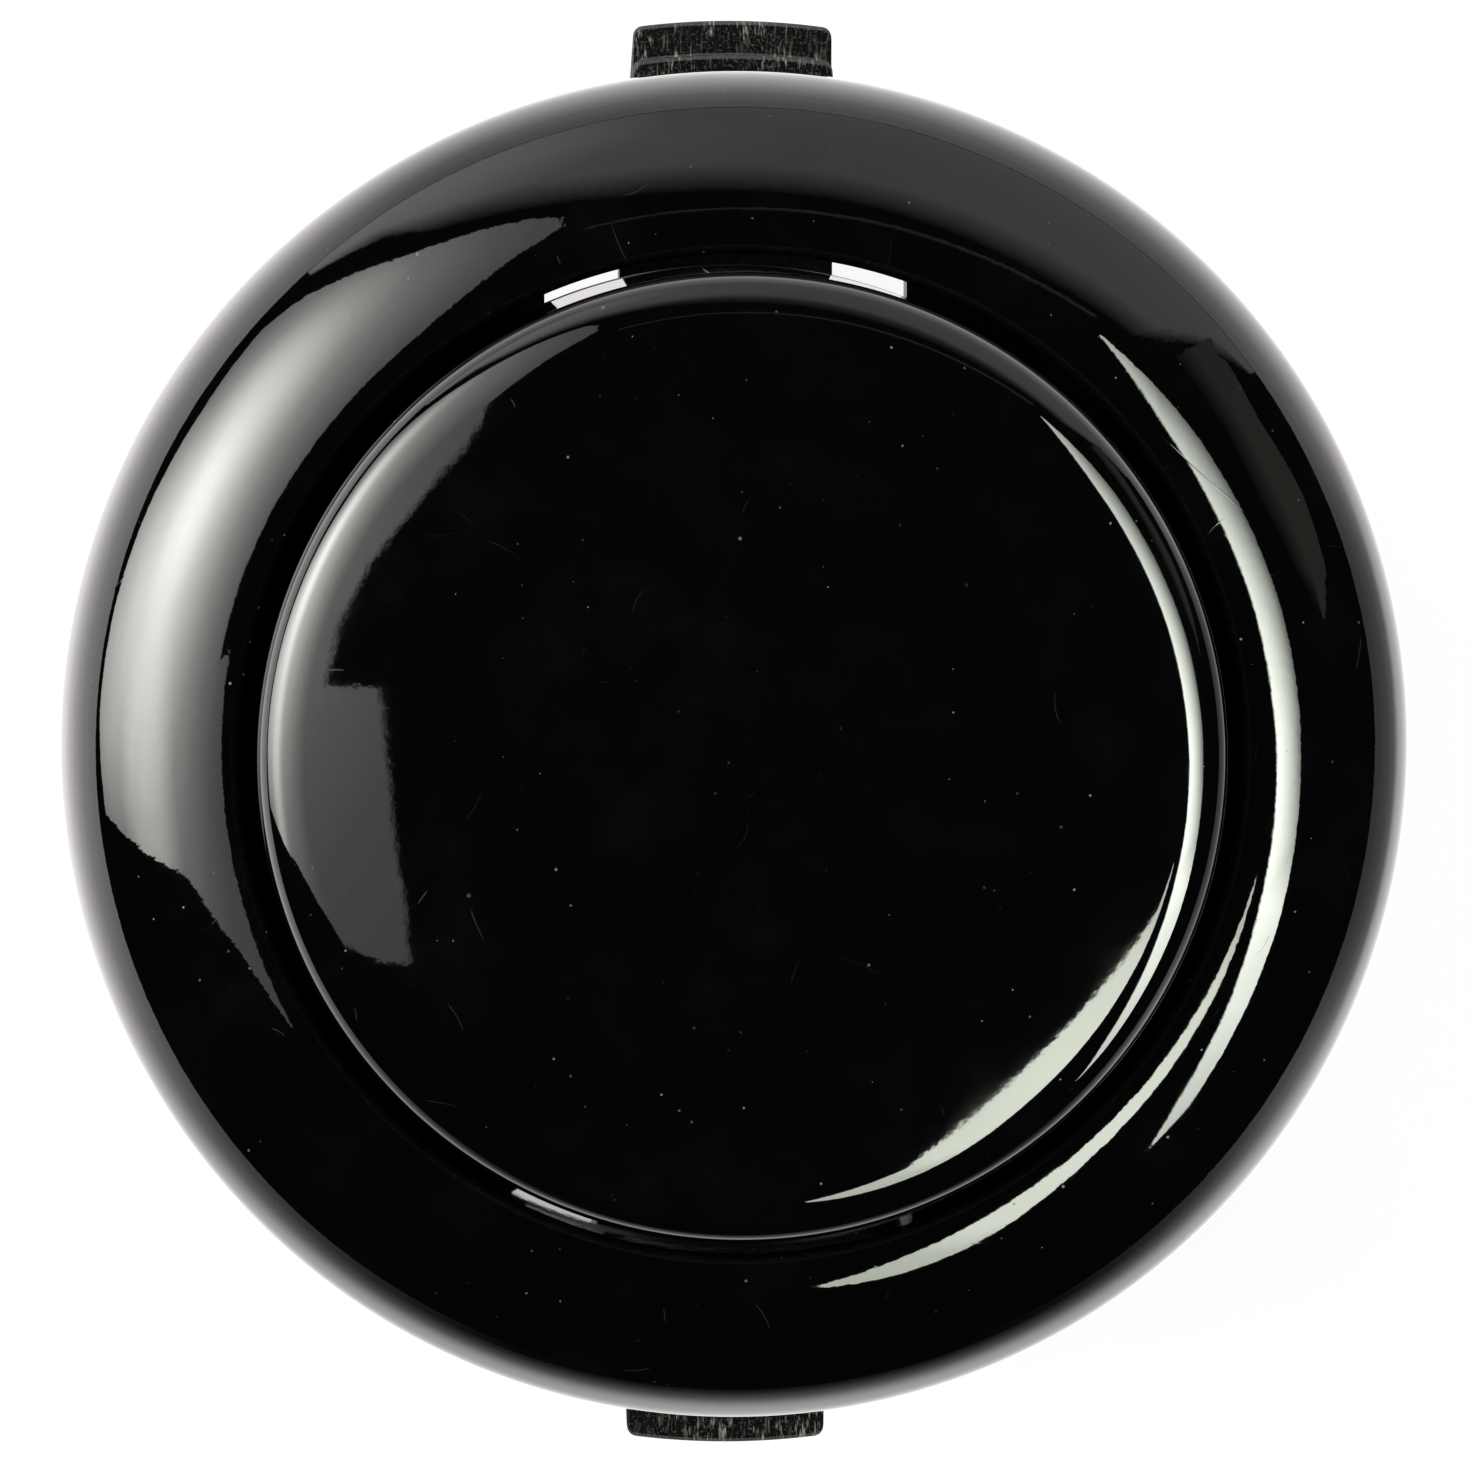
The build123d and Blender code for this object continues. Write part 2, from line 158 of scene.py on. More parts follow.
# Plunger; its skirt is unpolished below SKIRT_DULL
CAP_TOP = plunger_high.z
DOME_RISE = 1.25
CAP_ROUND = 0.9
SHOULDER_ROUND = 3.6
SHOULDER_TILT = radians(20.5)
SKIRT_THICKNESS = 1.5
SKIRT_INNER = PLUNGER_RADIUS - SKIRT_THICKNESS
SKIRT_BOTTOM = -2.5
SKIRT_ROUND = 0.2
SKIRT_DULL = -1.2
STOP_TOP = -4.6
CAP_ROOF = 1.6
ROOF_ROUND = 0.4
PAD_RADIUS = 3.65
PAD_DROP = 0.5
PAD_ROUND = 0.1
STEM_RADIUS = 1.8
STEM_BOTTOM = -6.0
STEM_FILLET = 0.15
STEM_ROUND = 0.25
LEG_INNER = 5.7
LEG_OUTER = 7.0
LEG_WIDTH = 4.0
LEG_TOP = 5.3
LEG_CATCH = -8.5
LEG_BOTTOM = plunger_low.z
LEG_ROOM = 0.15
LEG_ROUND = 0.15
BARB_DEPTH = 0.9
BARB_LAND = 0.6
BARB_ROUND = 0.1
BARB_NOSE = 0.2

# Springs; CLOSED_PITCH is in wire thicknesses, PITCH_BLEND in turns, and ARM_DROP is how far the arm
# presses its spring
SPRING_WIRE = 0.4
SPRING_TURNS = 6
ARM_SPRING_WIRE = 0.25
ARM_SPRING_TURNS = 4
CLOSED_PITCH = 1.06
PITCH_BLEND = 0.35

# Fineness of the round shapes, the angles in degrees past which edges count as sharp, and small limits
LATHE_STEPS = 288
CROWN_STEPS = 56
DOME_STEPS = 44
LIP_STEPS = 14
ROUND_STEPS = 6
FLANK_STEPS = 8
TONGUE_STEPS = 16
WIRE_SIDES = 14
TURN_STEPS = 48
SHARP_ANGLE = 32
WIRE_SHARP_ANGLE = 40
BEVEL_ANGLE = 40
BEVEL_SEGMENTS = 2
WELD_REACH = 0.001
STRAIGHT = 1e-3
ON_AXIS = 1e-6
CLOSE = 1e-9


def arc(center, radius, start, end, steps):
    """Points along an arc, by angles in radians."""
    span = [start + (end - start) * i / steps for i in range(steps + 1)]
    return [(center[0] + radius * cos(a), center[1] + radius * sin(a)) for a in span]


def rounded(corners):
    """A closed outline of (x, y, radius) corners, with each corner rounded by its radius."""
    outline = []
    for i, (x, y, radius) in enumerate(corners):
        here = Vector((x, y))
        before = (Vector(corners[i - 1][:2]) - here).normalized()
        after = (Vector(corners[(i + 1) % len(corners)][:2]) - here).normalized()
        turn = acos(max(-1.0, min(1.0, before.dot(after))))
        if radius == 0 or abs(turn - pi) < STRAIGHT:
            outline.append((x, y))
            continue
        reach = radius / tan(turn / 2)
        center = here + (before + after).normalized() * (radius / sin(turn / 2))
        first = here + before * reach - center
        last = here + after * reach - center
        start = atan2(first.y, first.x)
        sweep = (atan2(last.y, last.x) - start + pi) % (2 * pi) - pi
        outline += arc(center, radius, start, start + sweep, ROUND_STEPS)
    return outline


def put_in_scene(name, data):
    """A new object that shows this data, linked to the scene."""
    piece = bpy.data.objects.new(name, data)
    bpy.context.scene.collection.objects.link(piece)
    return piece


def mesh_object(name, verts, faces):
    """A mesh in millimetres, its faces turned outwards, linked to the scene."""
    mesh = bpy.data.meshes.new(name)
    mesh.from_pydata(verts, [], faces)
    work = bmesh.new()
    work.from_mesh(mesh)
    bmesh.ops.recalc_face_normals(work, faces=work.faces)
    work.to_mesh(mesh)
    work.free()
    return put_in_scene(name, mesh)


def lathe(name, outline, closed):
    """Turns an (r, z) outline about Z. An open outline starts and ends on the axis."""
    verts, faces, rings = [], [], []
    for r, z in outline:
        if r < ON_AXIS:
            rings.append([len(verts)] * LATHE_STEPS)
            verts.append((0, 0, z))
            continue
        rings.append(range(len(verts), len(verts) + LATHE_STEPS))
        for i in range(LATHE_STEPS):
            turn = 2 * pi * i / LATHE_STEPS
            verts.append((r * cos(turn), r * sin(turn), z))
    pairs = list(zip(rings, rings[1:]))
    if closed:
        pairs.append((rings[-1], rings[0]))
    for low, high in pairs:
        for i in range(LATHE_STEPS):
            j = (i + 1) % LATHE_STEPS
            corners = [low[i], low[j], high[j], high[i]]
            faces.append(list(dict.fromkeys(corners)))
    return mesh_object(name, verts, faces)


def prism(name, outline, place, half):
    """Extrudes an outline to both sides; place(u, v, w) gives the point, with w across."""
    count = len(outline)
    verts = [place(u, v, w) for w in (-half, half) for u, v in outline]
    faces = [list(range(count)), list(range(2 * count - 1, count - 1, -1))]
    for i in range(count):
        j = (i + 1) % count
        faces.append([i, j, count + j, count + i])
    return mesh_object(name, verts, faces)


def block(name, low, high):
    """A plain block between two corners."""
    outline = [(low[0], low[1]), (high[0], low[1]), (high[0], high[1]), (low[0], high[1])]
    middle = (low[2] + high[2]) / 2
    return prism(name, outline, lambda u, v, w: (u, v, middle + w), (high[2] - low[2]) / 2)


def turned(piece, angle):
    """The piece turned about Z by an angle in degrees."""
    piece.data.transform(Matrix.Rotation(radians(angle), 4, "Z"))
    return piece


def combine(piece, others, operation):
    """Adds the other pieces to this one or cuts them out of it, and removes them."""
    group = bpy.data.collections.new("tools")
    for other in others:
        group.objects.link(other)
    change = piece.modifiers.new("change", "BOOLEAN")
    change.operation = operation
    change.solver = "MANIFOLD"
    change.operand_type = "COLLECTION"
    change.collection = group
    bpy.context.view_layer.update()
    depsgraph = bpy.context.evaluated_depsgraph_get()
    mesh = bpy.data.meshes.new_from_object(piece.evaluated_get(depsgraph))
    piece.modifiers.clear()
    piece.data = mesh
    for other in others:
        bpy.data.objects.remove(other)
    bpy.data.collections.remove(group)


def finish_mesh(piece, sharp_angle=SHARP_ANGLE):
    """Puts a piece built in millimetres into metres, smooth but for its sharp edges."""
    piece.data.transform(Matrix.Scale(MM, 4))
    piece.data.shade_smooth()
    piece.data.set_sharp_from_angle(angle=radians(sharp_angle))
    return piece


def crown_point(turn, inset=0.0):
    """A point of the rim's elliptical crown, moved inwards by inset."""
    normal = Vector((cos(turn) / CROWN_REACH, sin(turn) / CROWN_RISE)).normalized()
    r = RIM_RADIUS - CROWN_REACH + CROWN_REACH * cos(turn) - inset * normal.x
    z = RIM_LAND + CROWN_RISE * sin(turn) - inset * normal.y
    return r, z


def crown_end():
    """The turn at which the crown meets the rounding of the lip."""
    low, high = 0.0, pi / 2
    while high - low > CLOSE:
        middle = (low + high) / 2
        if crown_point(middle, LIP_ROUND)[0] > BORE_RADIUS + LIP_ROUND:
            low = middle
        else:
            high = middle
    return low


def housing_outline():
    """Section of the rim, barrel, floor and boss."""
    end = crown_end()
    crown = [crown_point(end * i / CROWN_STEPS) for i in range(CROWN_STEPS + 1)]
    lip_center = crown_point(end, LIP_ROUND)
    lean = atan2(crown[-1][1] - lip_center[1], crown[-1][0] - lip_center[0])
    lip = arc(lip_center, LIP_ROUND, lean, pi, LIP_STEPS)[1:]
    flare = BARREL_INNER - BORE_RADIUS
    inside = [
        (BORE_RADIUS, lip_center[1] - EDGE_HOLD, 0),
        (BORE_RADIUS, EDGE_ROUND - BORE_LAND, 0),
        (BORE_RADIUS, -BORE_LAND, EDGE_ROUND),
        (BARREL_INNER, -BORE_LAND - flare, EDGE_ROUND),
        (BARREL_INNER, FLOOR_TOP, EDGE_ROUND),
        (BOSS_RADIUS, FLOOR_TOP, EDGE_ROUND),
        (BOSS_RADIUS, FLOOR_TOP + BOSS_HEIGHT, EDGE_ROUND),
        (HOLE_RADIUS, FLOOR_TOP + BOSS_HEIGHT, EDGE_ROUND),
        (HOLE_RADIUS, FLOOR_BOTTOM, EDGE_ROUND),
        (BARREL_INNER, FLOOR_BOTTOM, EDGE_ROUND),
        (BARREL_INNER, BARREL_BOTTOM, EDGE_ROUND),
        (BARREL_RADIUS - BARREL_LEAD, BARREL_BOTTOM, EDGE_ROUND),
        (BARREL_RADIUS, BARREL_BOTTOM + BARREL_LEAD, EDGE_ROUND),
        (BARREL_RADIUS, 0, 0),
        (RIM_RADIUS, 0, RIM_EDGE),
    ]
    curved = [(r, z, 0) for r, z in crown + lip]
    return rounded(curved + inside)


def tongue(name):
    """One snap tongue on +Y: a leaf that leans out, with three ledges and a ramp below them."""
    foot = TONGUE_ROOT - LEAF_SINK
    outline = rounded(
        [
            (LEAF_INNER, foot, 0),
            (LEAF_OUTER, foot, 0),
            (LEAF_OUTER, TONGUE_ROOT, 0),
            (RAMP_RADIUS, RAMP_BOTTOM, RAMP_ROUND),
            (TIP_RADIUS, TOOTH_BOTTOM, LEDGE_ROUND),
            (TIP_RADIUS, LEDGES[2], LEDGE_ROUND),
            (TIP_RADIUS - STEP_WIDTH, LEDGES[2], LEDGE_ROUND / 2),
            (TIP_RADIUS - STEP_WIDTH, LEDGES[1], LEDGE_ROUND),
            (HEAD_RADIUS, LEDGES[1], LEDGE_ROUND / 2),
            (HEAD_RADIUS, LEDGES[0], LEDGE_ROUND),
            (HEAD_INNER, LEDGES[0], LEDGE_ROUND),
            (LEAF_INNER, TONGUE_ROOT, 0),
        ]
    )
    straight = TONGUE_WIDTH / 2 - TONGUE_ROUND
    turns = [pi / 2 * i / FLANK_STEPS for i in range(FLANK_STEPS + 1)]
    right = [straight * i / TONGUE_STEPS for i in range(TONGUE_STEPS)]
    right += [straight + TONGUE_ROUND * sin(turn) for turn in turns]
    columns = [-x for x in reversed(right[1:])] + right
    verts, faces = [], []
    for x in columns:
        over = max(0.0, abs(x) - straight)
        pull = TONGUE_ROUND - sqrt(max(0.0, TONGUE_ROUND**2 - over**2))
        for r, z in outline:
            on_flank = r > FLANK_INNER and z > FLANK_BOTTOM
            out = r - pull if on_flank else r
            verts.append((x, sqrt(out**2 - x**2), z))
    count = len(outline)
    for k in range(len(columns) - 1):
        for i in range(count):
            j = (i + 1) % count
            a, b = k * count, (k + 1) * count
            faces.append([a + i, a + j, b + j, b + i])
    last = (len(columns) - 1) * count
    faces.append(list(range(count)))
    faces.append([last + i for i in range(count)])
    return mesh_object(name, verts, faces)


def on_both_sides(make):
    """The pieces that a function makes, once as made and once turned half round."""
    return [make(), turned(make(), 180)]


def make_housing():
    """Rim, barrel, floor, tongues, ribs, rails and latches: one moulding."""
    piece = lathe("housing_moulding", housing_outline(), closed=True)

    def window():
        low = (-WINDOW_HALF, WINDOW_INNER, TONGUE_ROOT)
        return block("window", low, (WINDOW_HALF, RIM_RADIUS, WINDOW_TOP))

    def slot():
        half = LEG_WIDTH / 2 + LEG_ROOM
        low = (-half, LEG_INNER - BARB_DEPTH - LEG_ROOM, FLOOR_BOTTOM - CUT_SPARE)
        return block("slot", low, (half, LEG_OUTER + LEG_ROOM, FLOOR_TOP + CUT_SPARE))

    def opening(left):
        low = (left, WINDOW_INNER - OPENING_DEPTH, FLOOR_BOTTOM - CUT_SPARE)
        high = (left + OPENING_WIDTH, WINDOW_INNER + OPENING_SPARE, FLOOR_TOP + BOSS_HEIGHT)
        return block("opening", low, high)

    cuts = on_both_sides(window) + on_both_sides(slot)
    cuts += on_both_sides(lambda: opening(-WINDOW_HALF))
    cuts += on_both_sides(lambda: opening(WINDOW_HALF - OPENING_WIDTH))
    combine(piece, cuts, "DIFFERENCE")

    def rail(x):
        reach = sqrt(BARREL_INNER**2 - RAIL_OFFSET**2) + RAIL_SINK
        low = (x - RAIL_WIDTH / 2, RAIL_START, FLOOR_BOTTOM - RAIL_LENGTH)
        return block("rail", low, (x + RAIL_WIDTH / 2, reach, FLOOR_BOTTOM + JOIN))

    def latch():
        outer = LATCH_INNER + LATCH_THICKNESS
        hook = LATCH_INNER - LATCH_HOOK
        foot = LATCH_CATCH - LATCH_HEIGHT
        outline = rounded(
            [
                (LATCH_INNER, FLOOR_BOTTOM + JOIN, 0),
                (outer, FLOOR_BOTTOM + JOIN, 0),
                (outer, foot, LATCH_ROUND),
                (LATCH_INNER - LATCH_LEAD, foot, LATCH_ROUND),
                (hook, LATCH_CATCH - LATCH_HEIGHT / 3, NOSE_ROUND),
                (hook, LATCH_CATCH, CATCH_ROUND),
                (LATCH_INNER, LATCH_CATCH, 0),
            ]
        )
        return prism("latch", outline, lambda u, v, w: (u, w, v), LATCH_WIDTH / 2)

    def rib(angle):
        outline = rounded(
            [
                (SKIRT_INNER, FLOOR_TOP - RIB_SINK, 0),
                (BARREL_INNER + RIB_ROOT, FLOOR_TOP - RIB_SINK, 0),
                (BARREL_INNER + RIB_ROOT, -BORE_LAND, 0),
                (RIB_INNER, -BORE_LAND, EDGE_ROUND),
                (RIB_INNER, STOP_TOP, 0),
                (SKIRT_INNER, STOP_TOP, EDGE_ROUND),
            ]
        )
        return turned(prism("rib", outline, lambda u, v, w: (u, w, v), RIB_WIDTH / 2), angle)

    added = on_both_sides(lambda: tongue("tongue"))
    added += on_both_sides(lambda: rail(RAIL_OFFSET)) + on_both_sides(lambda: rail(-RAIL_OFFSET))
    added += on_both_sides(latch)
    added += [rib(FIRST_RIB + 360 / RIB_COUNT * i) for i in range(RIB_COUNT)]
    combine(piece, added, "UNION")
    return finish_mesh(piece)


def plunger_outline():
    """Section of the cap, skirt, spring pad and stem, from the top of the dome to the stem's end."""
    dome_radius = (PLUNGER_RADIUS**2 + DOME_RISE**2) / (2 * DOME_RISE)
    turn_over = sin(SHOULDER_TILT)
    reach = PLUNGER_RADIUS - CAP_ROUND + (CAP_ROUND - SHOULDER_ROUND) * turn_over
    tilt = asin(reach / (dome_radius - SHOULDER_ROUND))
    center = (0, CAP_TOP - dome_radius)
    edge = []
    for radius, smaller, start, end, steps in (
        (dome_radius, SHOULDER_ROUND, 0, tilt, DOME_STEPS),
        (SHOULDER_ROUND, CAP_ROUND, tilt, SHOULDER_TILT, LIP_STEPS),
        (CAP_ROUND, 0, SHOULDER_TILT, pi / 2, LIP_STEPS),
    ):
        edge += arc(center, radius, pi / 2 - start, pi / 2 - end, steps)[1:]
        center = (center[0] + (radius - smaller) * sin(end), center[1] + (radius - smaller) * cos(end))
    roof = CAP_TOP - CAP_ROOF
    fall = dome_radius - sqrt(dome_radius**2 - SKIRT_INNER**2)
    pad_bottom = roof - PAD_DROP
    below = rounded(
        [
            (PLUNGER_RADIUS, edge[-1][1] - EDGE_HOLD, 0),
            (PLUNGER_RADIUS, SKIRT_DULL, 0),
            (PLUNGER_RADIUS, SKIRT_BOTTOM + SKIRT_ROUND + EDGE_HOLD, 0),
            (PLUNGER_RADIUS, SKIRT_BOTTOM, SKIRT_ROUND),
            (SKIRT_INNER, SKIRT_BOTTOM, SKIRT_ROUND),
            (SKIRT_INNER, roof - fall, ROOF_ROUND),
            (PAD_RADIUS, roof - fall * PAD_RADIUS / SKIRT_INNER, PAD_ROUND),
            (PAD_RADIUS, pad_bottom, PAD_ROUND),
            (STEM_RADIUS, pad_bottom, STEM_FILLET),
            (STEM_RADIUS, STEM_BOTTOM, STEM_ROUND),
            (0, STEM_BOTTOM, 0),
        ]
    )
    return [(0, CAP_TOP)] + edge + below


def make_plunger():
    """Cap, skirt, stem and two hooked legs: one moulding."""
    piece = lathe("plunger_moulding", plunger_outline(), closed=False)

    def leg():
        outline = rounded(
            [
                (LEG_INNER, LEG_TOP, 0),
                (LEG_OUTER, LEG_TOP, 0),
                (LEG_OUTER, LEG_CATCH, 0),
                (LEG_OUTER + BARB_DEPTH, LEG_CATCH, BARB_ROUND),
                (LEG_OUTER + BARB_DEPTH, LEG_CATCH - BARB_LAND, BARB_NOSE),
                ((LEG_INNER + LEG_OUTER) / 2, LEG_BOTTOM, BARB_NOSE),
                (LEG_INNER, LEG_BOTTOM, LEG_ROUND),
            ]
        )
        return prism("leg", outline, lambda u, v, w: (w, u, v), LEG_WIDTH / 2)

    combine(piece, on_both_sides(leg), "UNION")
    return finish_mesh(piece)


def make_spring(name, center, radius, bottom, top, wire, turns):
    """A coil of round wire with a closed turn at each end."""
    rise = top - bottom - wire
    closed = wire * CLOSED_PITCH
    active = (rise - 2 * closed) / (turns - 2)

    def level(turn):
        if turn < 1:
            return closed * turn
        if turn > turns - 1:
            return rise - closed * (turns - turn)
        return closed + active * (turn - 1)

    steps = turns * TURN_STEPS
    verts, faces = [], []
    for i in range(steps + 1):
        turn = i / TURN_STEPS
        height = level(turn)
        if PITCH_BLEND <= turn <= turns - PITCH_BLEND:
            height = (level(turn - PITCH_BLEND) + height + level(turn + PITCH_BLEND)) / 3
        around = 2 * pi * turn
        out = Vector((cos(around), sin(around), 0))
        middle = Vector((*center, bottom + wire / 2 + height)) + out * radius
        for k in range(WIRE_SIDES):
            side = 2 * pi * k / WIRE_SIDES
            verts.append(middle + (out * cos(side) + Vector((0, 0, sin(side)))) * wire / 2)
    for i in range(steps):
        for k in range(WIRE_SIDES):
            j = (k + 1) % WIRE_SIDES
            a, b = i * WIRE_SIDES, (i + 1) * WIRE_SIDES
            faces.append([a + k, a + j, b + j, b + k])
    faces.append(list(range(WIRE_SIDES)))
    faces.append([steps * WIRE_SIDES + k for k in range(WIRE_SIDES)])
    return finish_mesh(mesh_object(name, verts, faces), WIRE_SHARP_ANGLE)


class Tree:
    """Adds nodes to a material or world and joins them."""

    def __init__(self, owner):
        owner.use_nodes = True
        self.nodes = owner.node_tree.nodes
        self.links = owner.node_tree.links

    def put(self, value, socket):
        if isinstance(value, bpy.types.NodeSocket):
            self.links.new(value, socket)
        else:
            socket.default_value = value

    def add(self, kind, inputs=None, **settings):
        node = self.nodes.new("ShaderNode" + kind)
        for key, value in settings.items():
            setattr(node, key, value)
        for socket, value in (inputs or {}).items():
            self.put(value, node.inputs[socket])
        return node

    def millimetres(self, scale=(1, 1, 1)):
        """The place on the object in millimetres, stretched."""
        place = self.add("TexCoord").outputs["Object"]
        size = [s / MM for s in scale]
        return self.add("Mapping", {0: place, "Scale": size}).outputs[0]

    def noise(self, place, scale, detail, roughness=0.5):
        inputs = {"Vector": place, "Scale": scale, "Detail": detail, "Roughness": roughness}
        return self.add("TexNoise", inputs).outputs["Fac"]

    def ramp(self, value, low, high, to_low=0.0, to_high=1.0):
        inputs = {"Value": value, "From Min": low, "From Max": high, "To Min": to_low, "To Max": to_high}
        return self.add("MapRange", inputs, interpolation_type="SMOOTHSTEP").outputs["Result"]

    def math(self, operation, first, second):
        return self.add("Math", {0: first, 1: second}, operation=operation).outputs[0]

    def mix(self, share, first, second):
        node = self.add("Mix", data_type="RGBA")
        self.put(share, node.inputs["Factor"])
        self.put(first, node.inputs["A"])
        self.put(second, node.inputs["B"])
        return node.outputs["Result"]

    def bump(self, height, depth_mm, before=None):
        node = self.add("Bump", {"Height": height, "Distance": depth_mm * MM})
        if before is not None:
            self.put(before, node.inputs["Normal"])
        return node.outputs["Normal"]

    def surface(self, shader):
        """Makes a shader the surface of a material that had an empty tree."""
        self.put(shader.outputs[0], self.add("OutputMaterial").inputs["Surface"])


def bare_material(name):
    """A new material and its tree, which is empty."""
    made = bpy.data.materials.new(name)
    tree = Tree(made)
    tree.nodes.clear()
    return made, tree


def material(name, **constants):
    """A new material, its tree and its shader, with the constants set on the shader's sockets."""
    made = bpy.data.materials.new(name)
    tree = Tree(made)
    shader = tree.nodes["Principled BSDF"]
    for socket, value in constants.items():
        shader.inputs[socket.replace("_", " ")].default_value = value
    return made, tree, shader


def grey(value):
    """A neutral colour."""
    return (value, value, value, 1.0)


def dust(tree, place, scale, share, reach):
    """Small round specks, most of them faint: up to 1 on a speck and 0 between them."""
    cells = tree.add("TexVoronoi", {"Vector": place, "Scale": scale})
    pick = tree.add("SeparateColor", {0: cells.outputs["Color"]}).outputs
    chosen = tree.math("LESS_THAN", pick[0], share)
    size = tree.ramp(pick[1], 0.0, 1.0, 0.4 * reach, reach)
    near = tree.math("LESS_THAN", cells.outputs["Distance"], size)
    level = tree.math("POWER", pick[2], 2.5)
    return tree.math("MULTIPLY", tree.math("MULTIPLY", chosen, near), level)


def hairlines(tree, place, cell_mm, length_mm, width_mm):
    """Short scratches, one to a cell, each with its own direction, bend and length."""
    cells = tree.add("TexVoronoi", {"Vector": place, "Scale": 1 / cell_mm}, voronoi_dimensions="2D")
    pick = tree.add("SeparateColor", {0: cells.outputs["Color"]}).outputs
    away = tree.add("VectorMath", {0: place, 1: cells.outputs["Position"]}, operation="SUBTRACT")
    turn = tree.math("MULTIPLY", pick[0], 2 * pi)
    spun = tree.add("VectorRotate", {"Vector": away.outputs[0], "Angle": turn}, rotation_type="Z_AXIS")
    along, across, _ = tree.add("SeparateXYZ", {0: spun.outputs[0]}).outputs
    bend = tree.math("MULTIPLY", tree.math("SUBTRACT", pick[1], 0.5), 0.7 / length_mm)
    bent = tree.math("MULTIPLY", tree.math("MULTIPLY", along, along), bend)
    off = tree.math("ABSOLUTE", tree.math("ADD", across, bent), 0)
    thin = tree.ramp(off, 0.3 * width_mm, width_mm, 1.0, 0.0)
    reach = tree.ramp(pick[2], 0.0, 1.0, 0.25 * length_mm, length_mm)
    part = tree.math("DIVIDE", tree.math("ABSOLUTE", along, 0), reach)
    return tree.math("MULTIPLY", thin, tree.ramp(part, 0.5, 1.0, 1.0, 0.0))


def gloss_plastic(name, offset, skin_mm, burr_mm):
    """Polished black moulding: smudges, hairline scratches, dust, and a burr along the lip."""
    made, tree, shader = material(name, IOR=1.52)
    place = tree.millimetres()
    moved = tree.add("VectorMath", {0: place, 1: (offset, -offset, 0)}, operation="ADD").outputs[0]
    fine = dust(tree, moved, scale=2.6, share=0.5, reach=0.095)
    coarse = dust(tree, moved, scale=0.9, share=0.22, reach=0.05)
    specks = tree.math("MAXIMUM", fine, coarse)
    long_lines = hairlines(tree, moved, cell_mm=7.0, length_mm=1.7, width_mm=0.02)
    short_lines = hairlines(tree, moved, cell_mm=2.6, length_mm=0.5, width_mm=0.018)
    worn = tree.ramp(tree.noise(moved, scale=0.16, detail=2.0), 0.5, 0.7)
    lines = tree.math("MULTIPLY", tree.math("MAXIMUM", long_lines, short_lines), worn)

    haze = tree.noise(moved, scale=0.35, detail=6.0, roughness=0.62)
    film = tree.ramp(haze, 0.48, 0.8, to_low=0.0, to_high=0.011)
    marks = tree.math("MAXIMUM", tree.math("MULTIPLY", specks, 0.6), tree.math("MULTIPLY", lines, 0.11))
    marks = tree.math("MAXIMUM", marks, film)
    colour = tree.mix(marks, (0.0011, 0.0011, 0.0013, 1), (0.18, 0.187, 0.192, 1))
    tree.put(colour, shader.inputs["Base Color"])

    wiped = tree.noise(moved, scale=0.3, detail=5.0, roughness=0.6)
    smudge = tree.ramp(wiped, 0.45, 0.75, to_low=0.02, to_high=0.045)
    rough = tree.math("ADD", smudge, tree.math("MULTIPLY", lines, 0.12))
    rough = tree.math("ADD", rough, tree.math("MULTIPLY", specks, 0.5))
    tree.put(rough, shader.inputs["Roughness"])

    wave = tree.bump(tree.noise(moved, scale=0.12, detail=1.0), 0.008)
    skin = tree.bump(tree.noise(moved, scale=3.2, detail=2.0), skin_mm, wave)
    flat = tree.millimetres((1, 1, 0))
    across = tree.add("VectorMath", {0: flat}, operation="LENGTH").outputs["Value"]
    by_lip = tree.ramp(across, BORE_RADIUS + BURR_FULL, BORE_RADIUS + BURR_END, to_low=1.0, to_high=0.0)
    burr = tree.math("MULTIPLY", tree.noise(moved, scale=4.5, detail=2.0), by_lip)
    skin = tree.bump(burr, burr_mm, skin)
    tree.put(tree.bump(lines, 0.0006, skin), shader.inputs["Normal"])
    return made


def dull_plastic(name):
    """Unpolished edges of the gloss mouldings: dull black, with dust caught on them."""
    made, tree, shader = material(name, IOR=1.5, Specular_IOR_Level=0.03)
    place = tree.millimetres()
    large = dust(tree, place, scale=2.4, share=0.35, reach=0.12)
    small = dust(tree, place, scale=5.0, share=0.3, reach=0.17)
    caught = tree.math("MAXIMUM", large, small)
    grain = tree.noise(place, scale=8.0, detail=4.0, roughness=0.6)
    share = tree.math("ADD", caught, tree.ramp(grain, 0.45, 0.75, 0.0, 0.012))
    tree.put(tree.mix(share, grey(0.0009), (0.2, 0.2, 0.19, 1)), shader.inputs["Base Color"])
    tree.put(tree.ramp(grain, 0.3, 0.7, 0.42, 0.56), shader.inputs["Roughness"])
    tree.put(tree.bump(grain, 0.004), shader.inputs["Normal"])
    return made


def satin_plastic(name):
    """The moulding below the rim: black, lightly spark-textured, with faint vertical drag marks."""
    made, tree, shader = material(name, IOR=1.5, Specular_IOR_Level=0.22)
    place = tree.millimetres()
    upright = tree.noise(tree.millimetres((3.5, 3.5, 0.05)), scale=1.0, detail=2.0)
    drag = tree.ramp(upright, 0.58, 0.74)
    grain = tree.noise(place, scale=9.0, detail=3.0)
    colour = tree.mix(tree.math("MULTIPLY", drag, 0.5), grey(0.010), (0.034, 0.034, 0.035, 1))
    tree.put(colour, shader.inputs["Base Color"])
    tree.put(tree.ramp(grain, 0.3, 0.7, 0.24, 0.36), shader.inputs["Roughness"])
    tree.put(tree.bump(grain, 0.008), shader.inputs["Normal"])
    return made


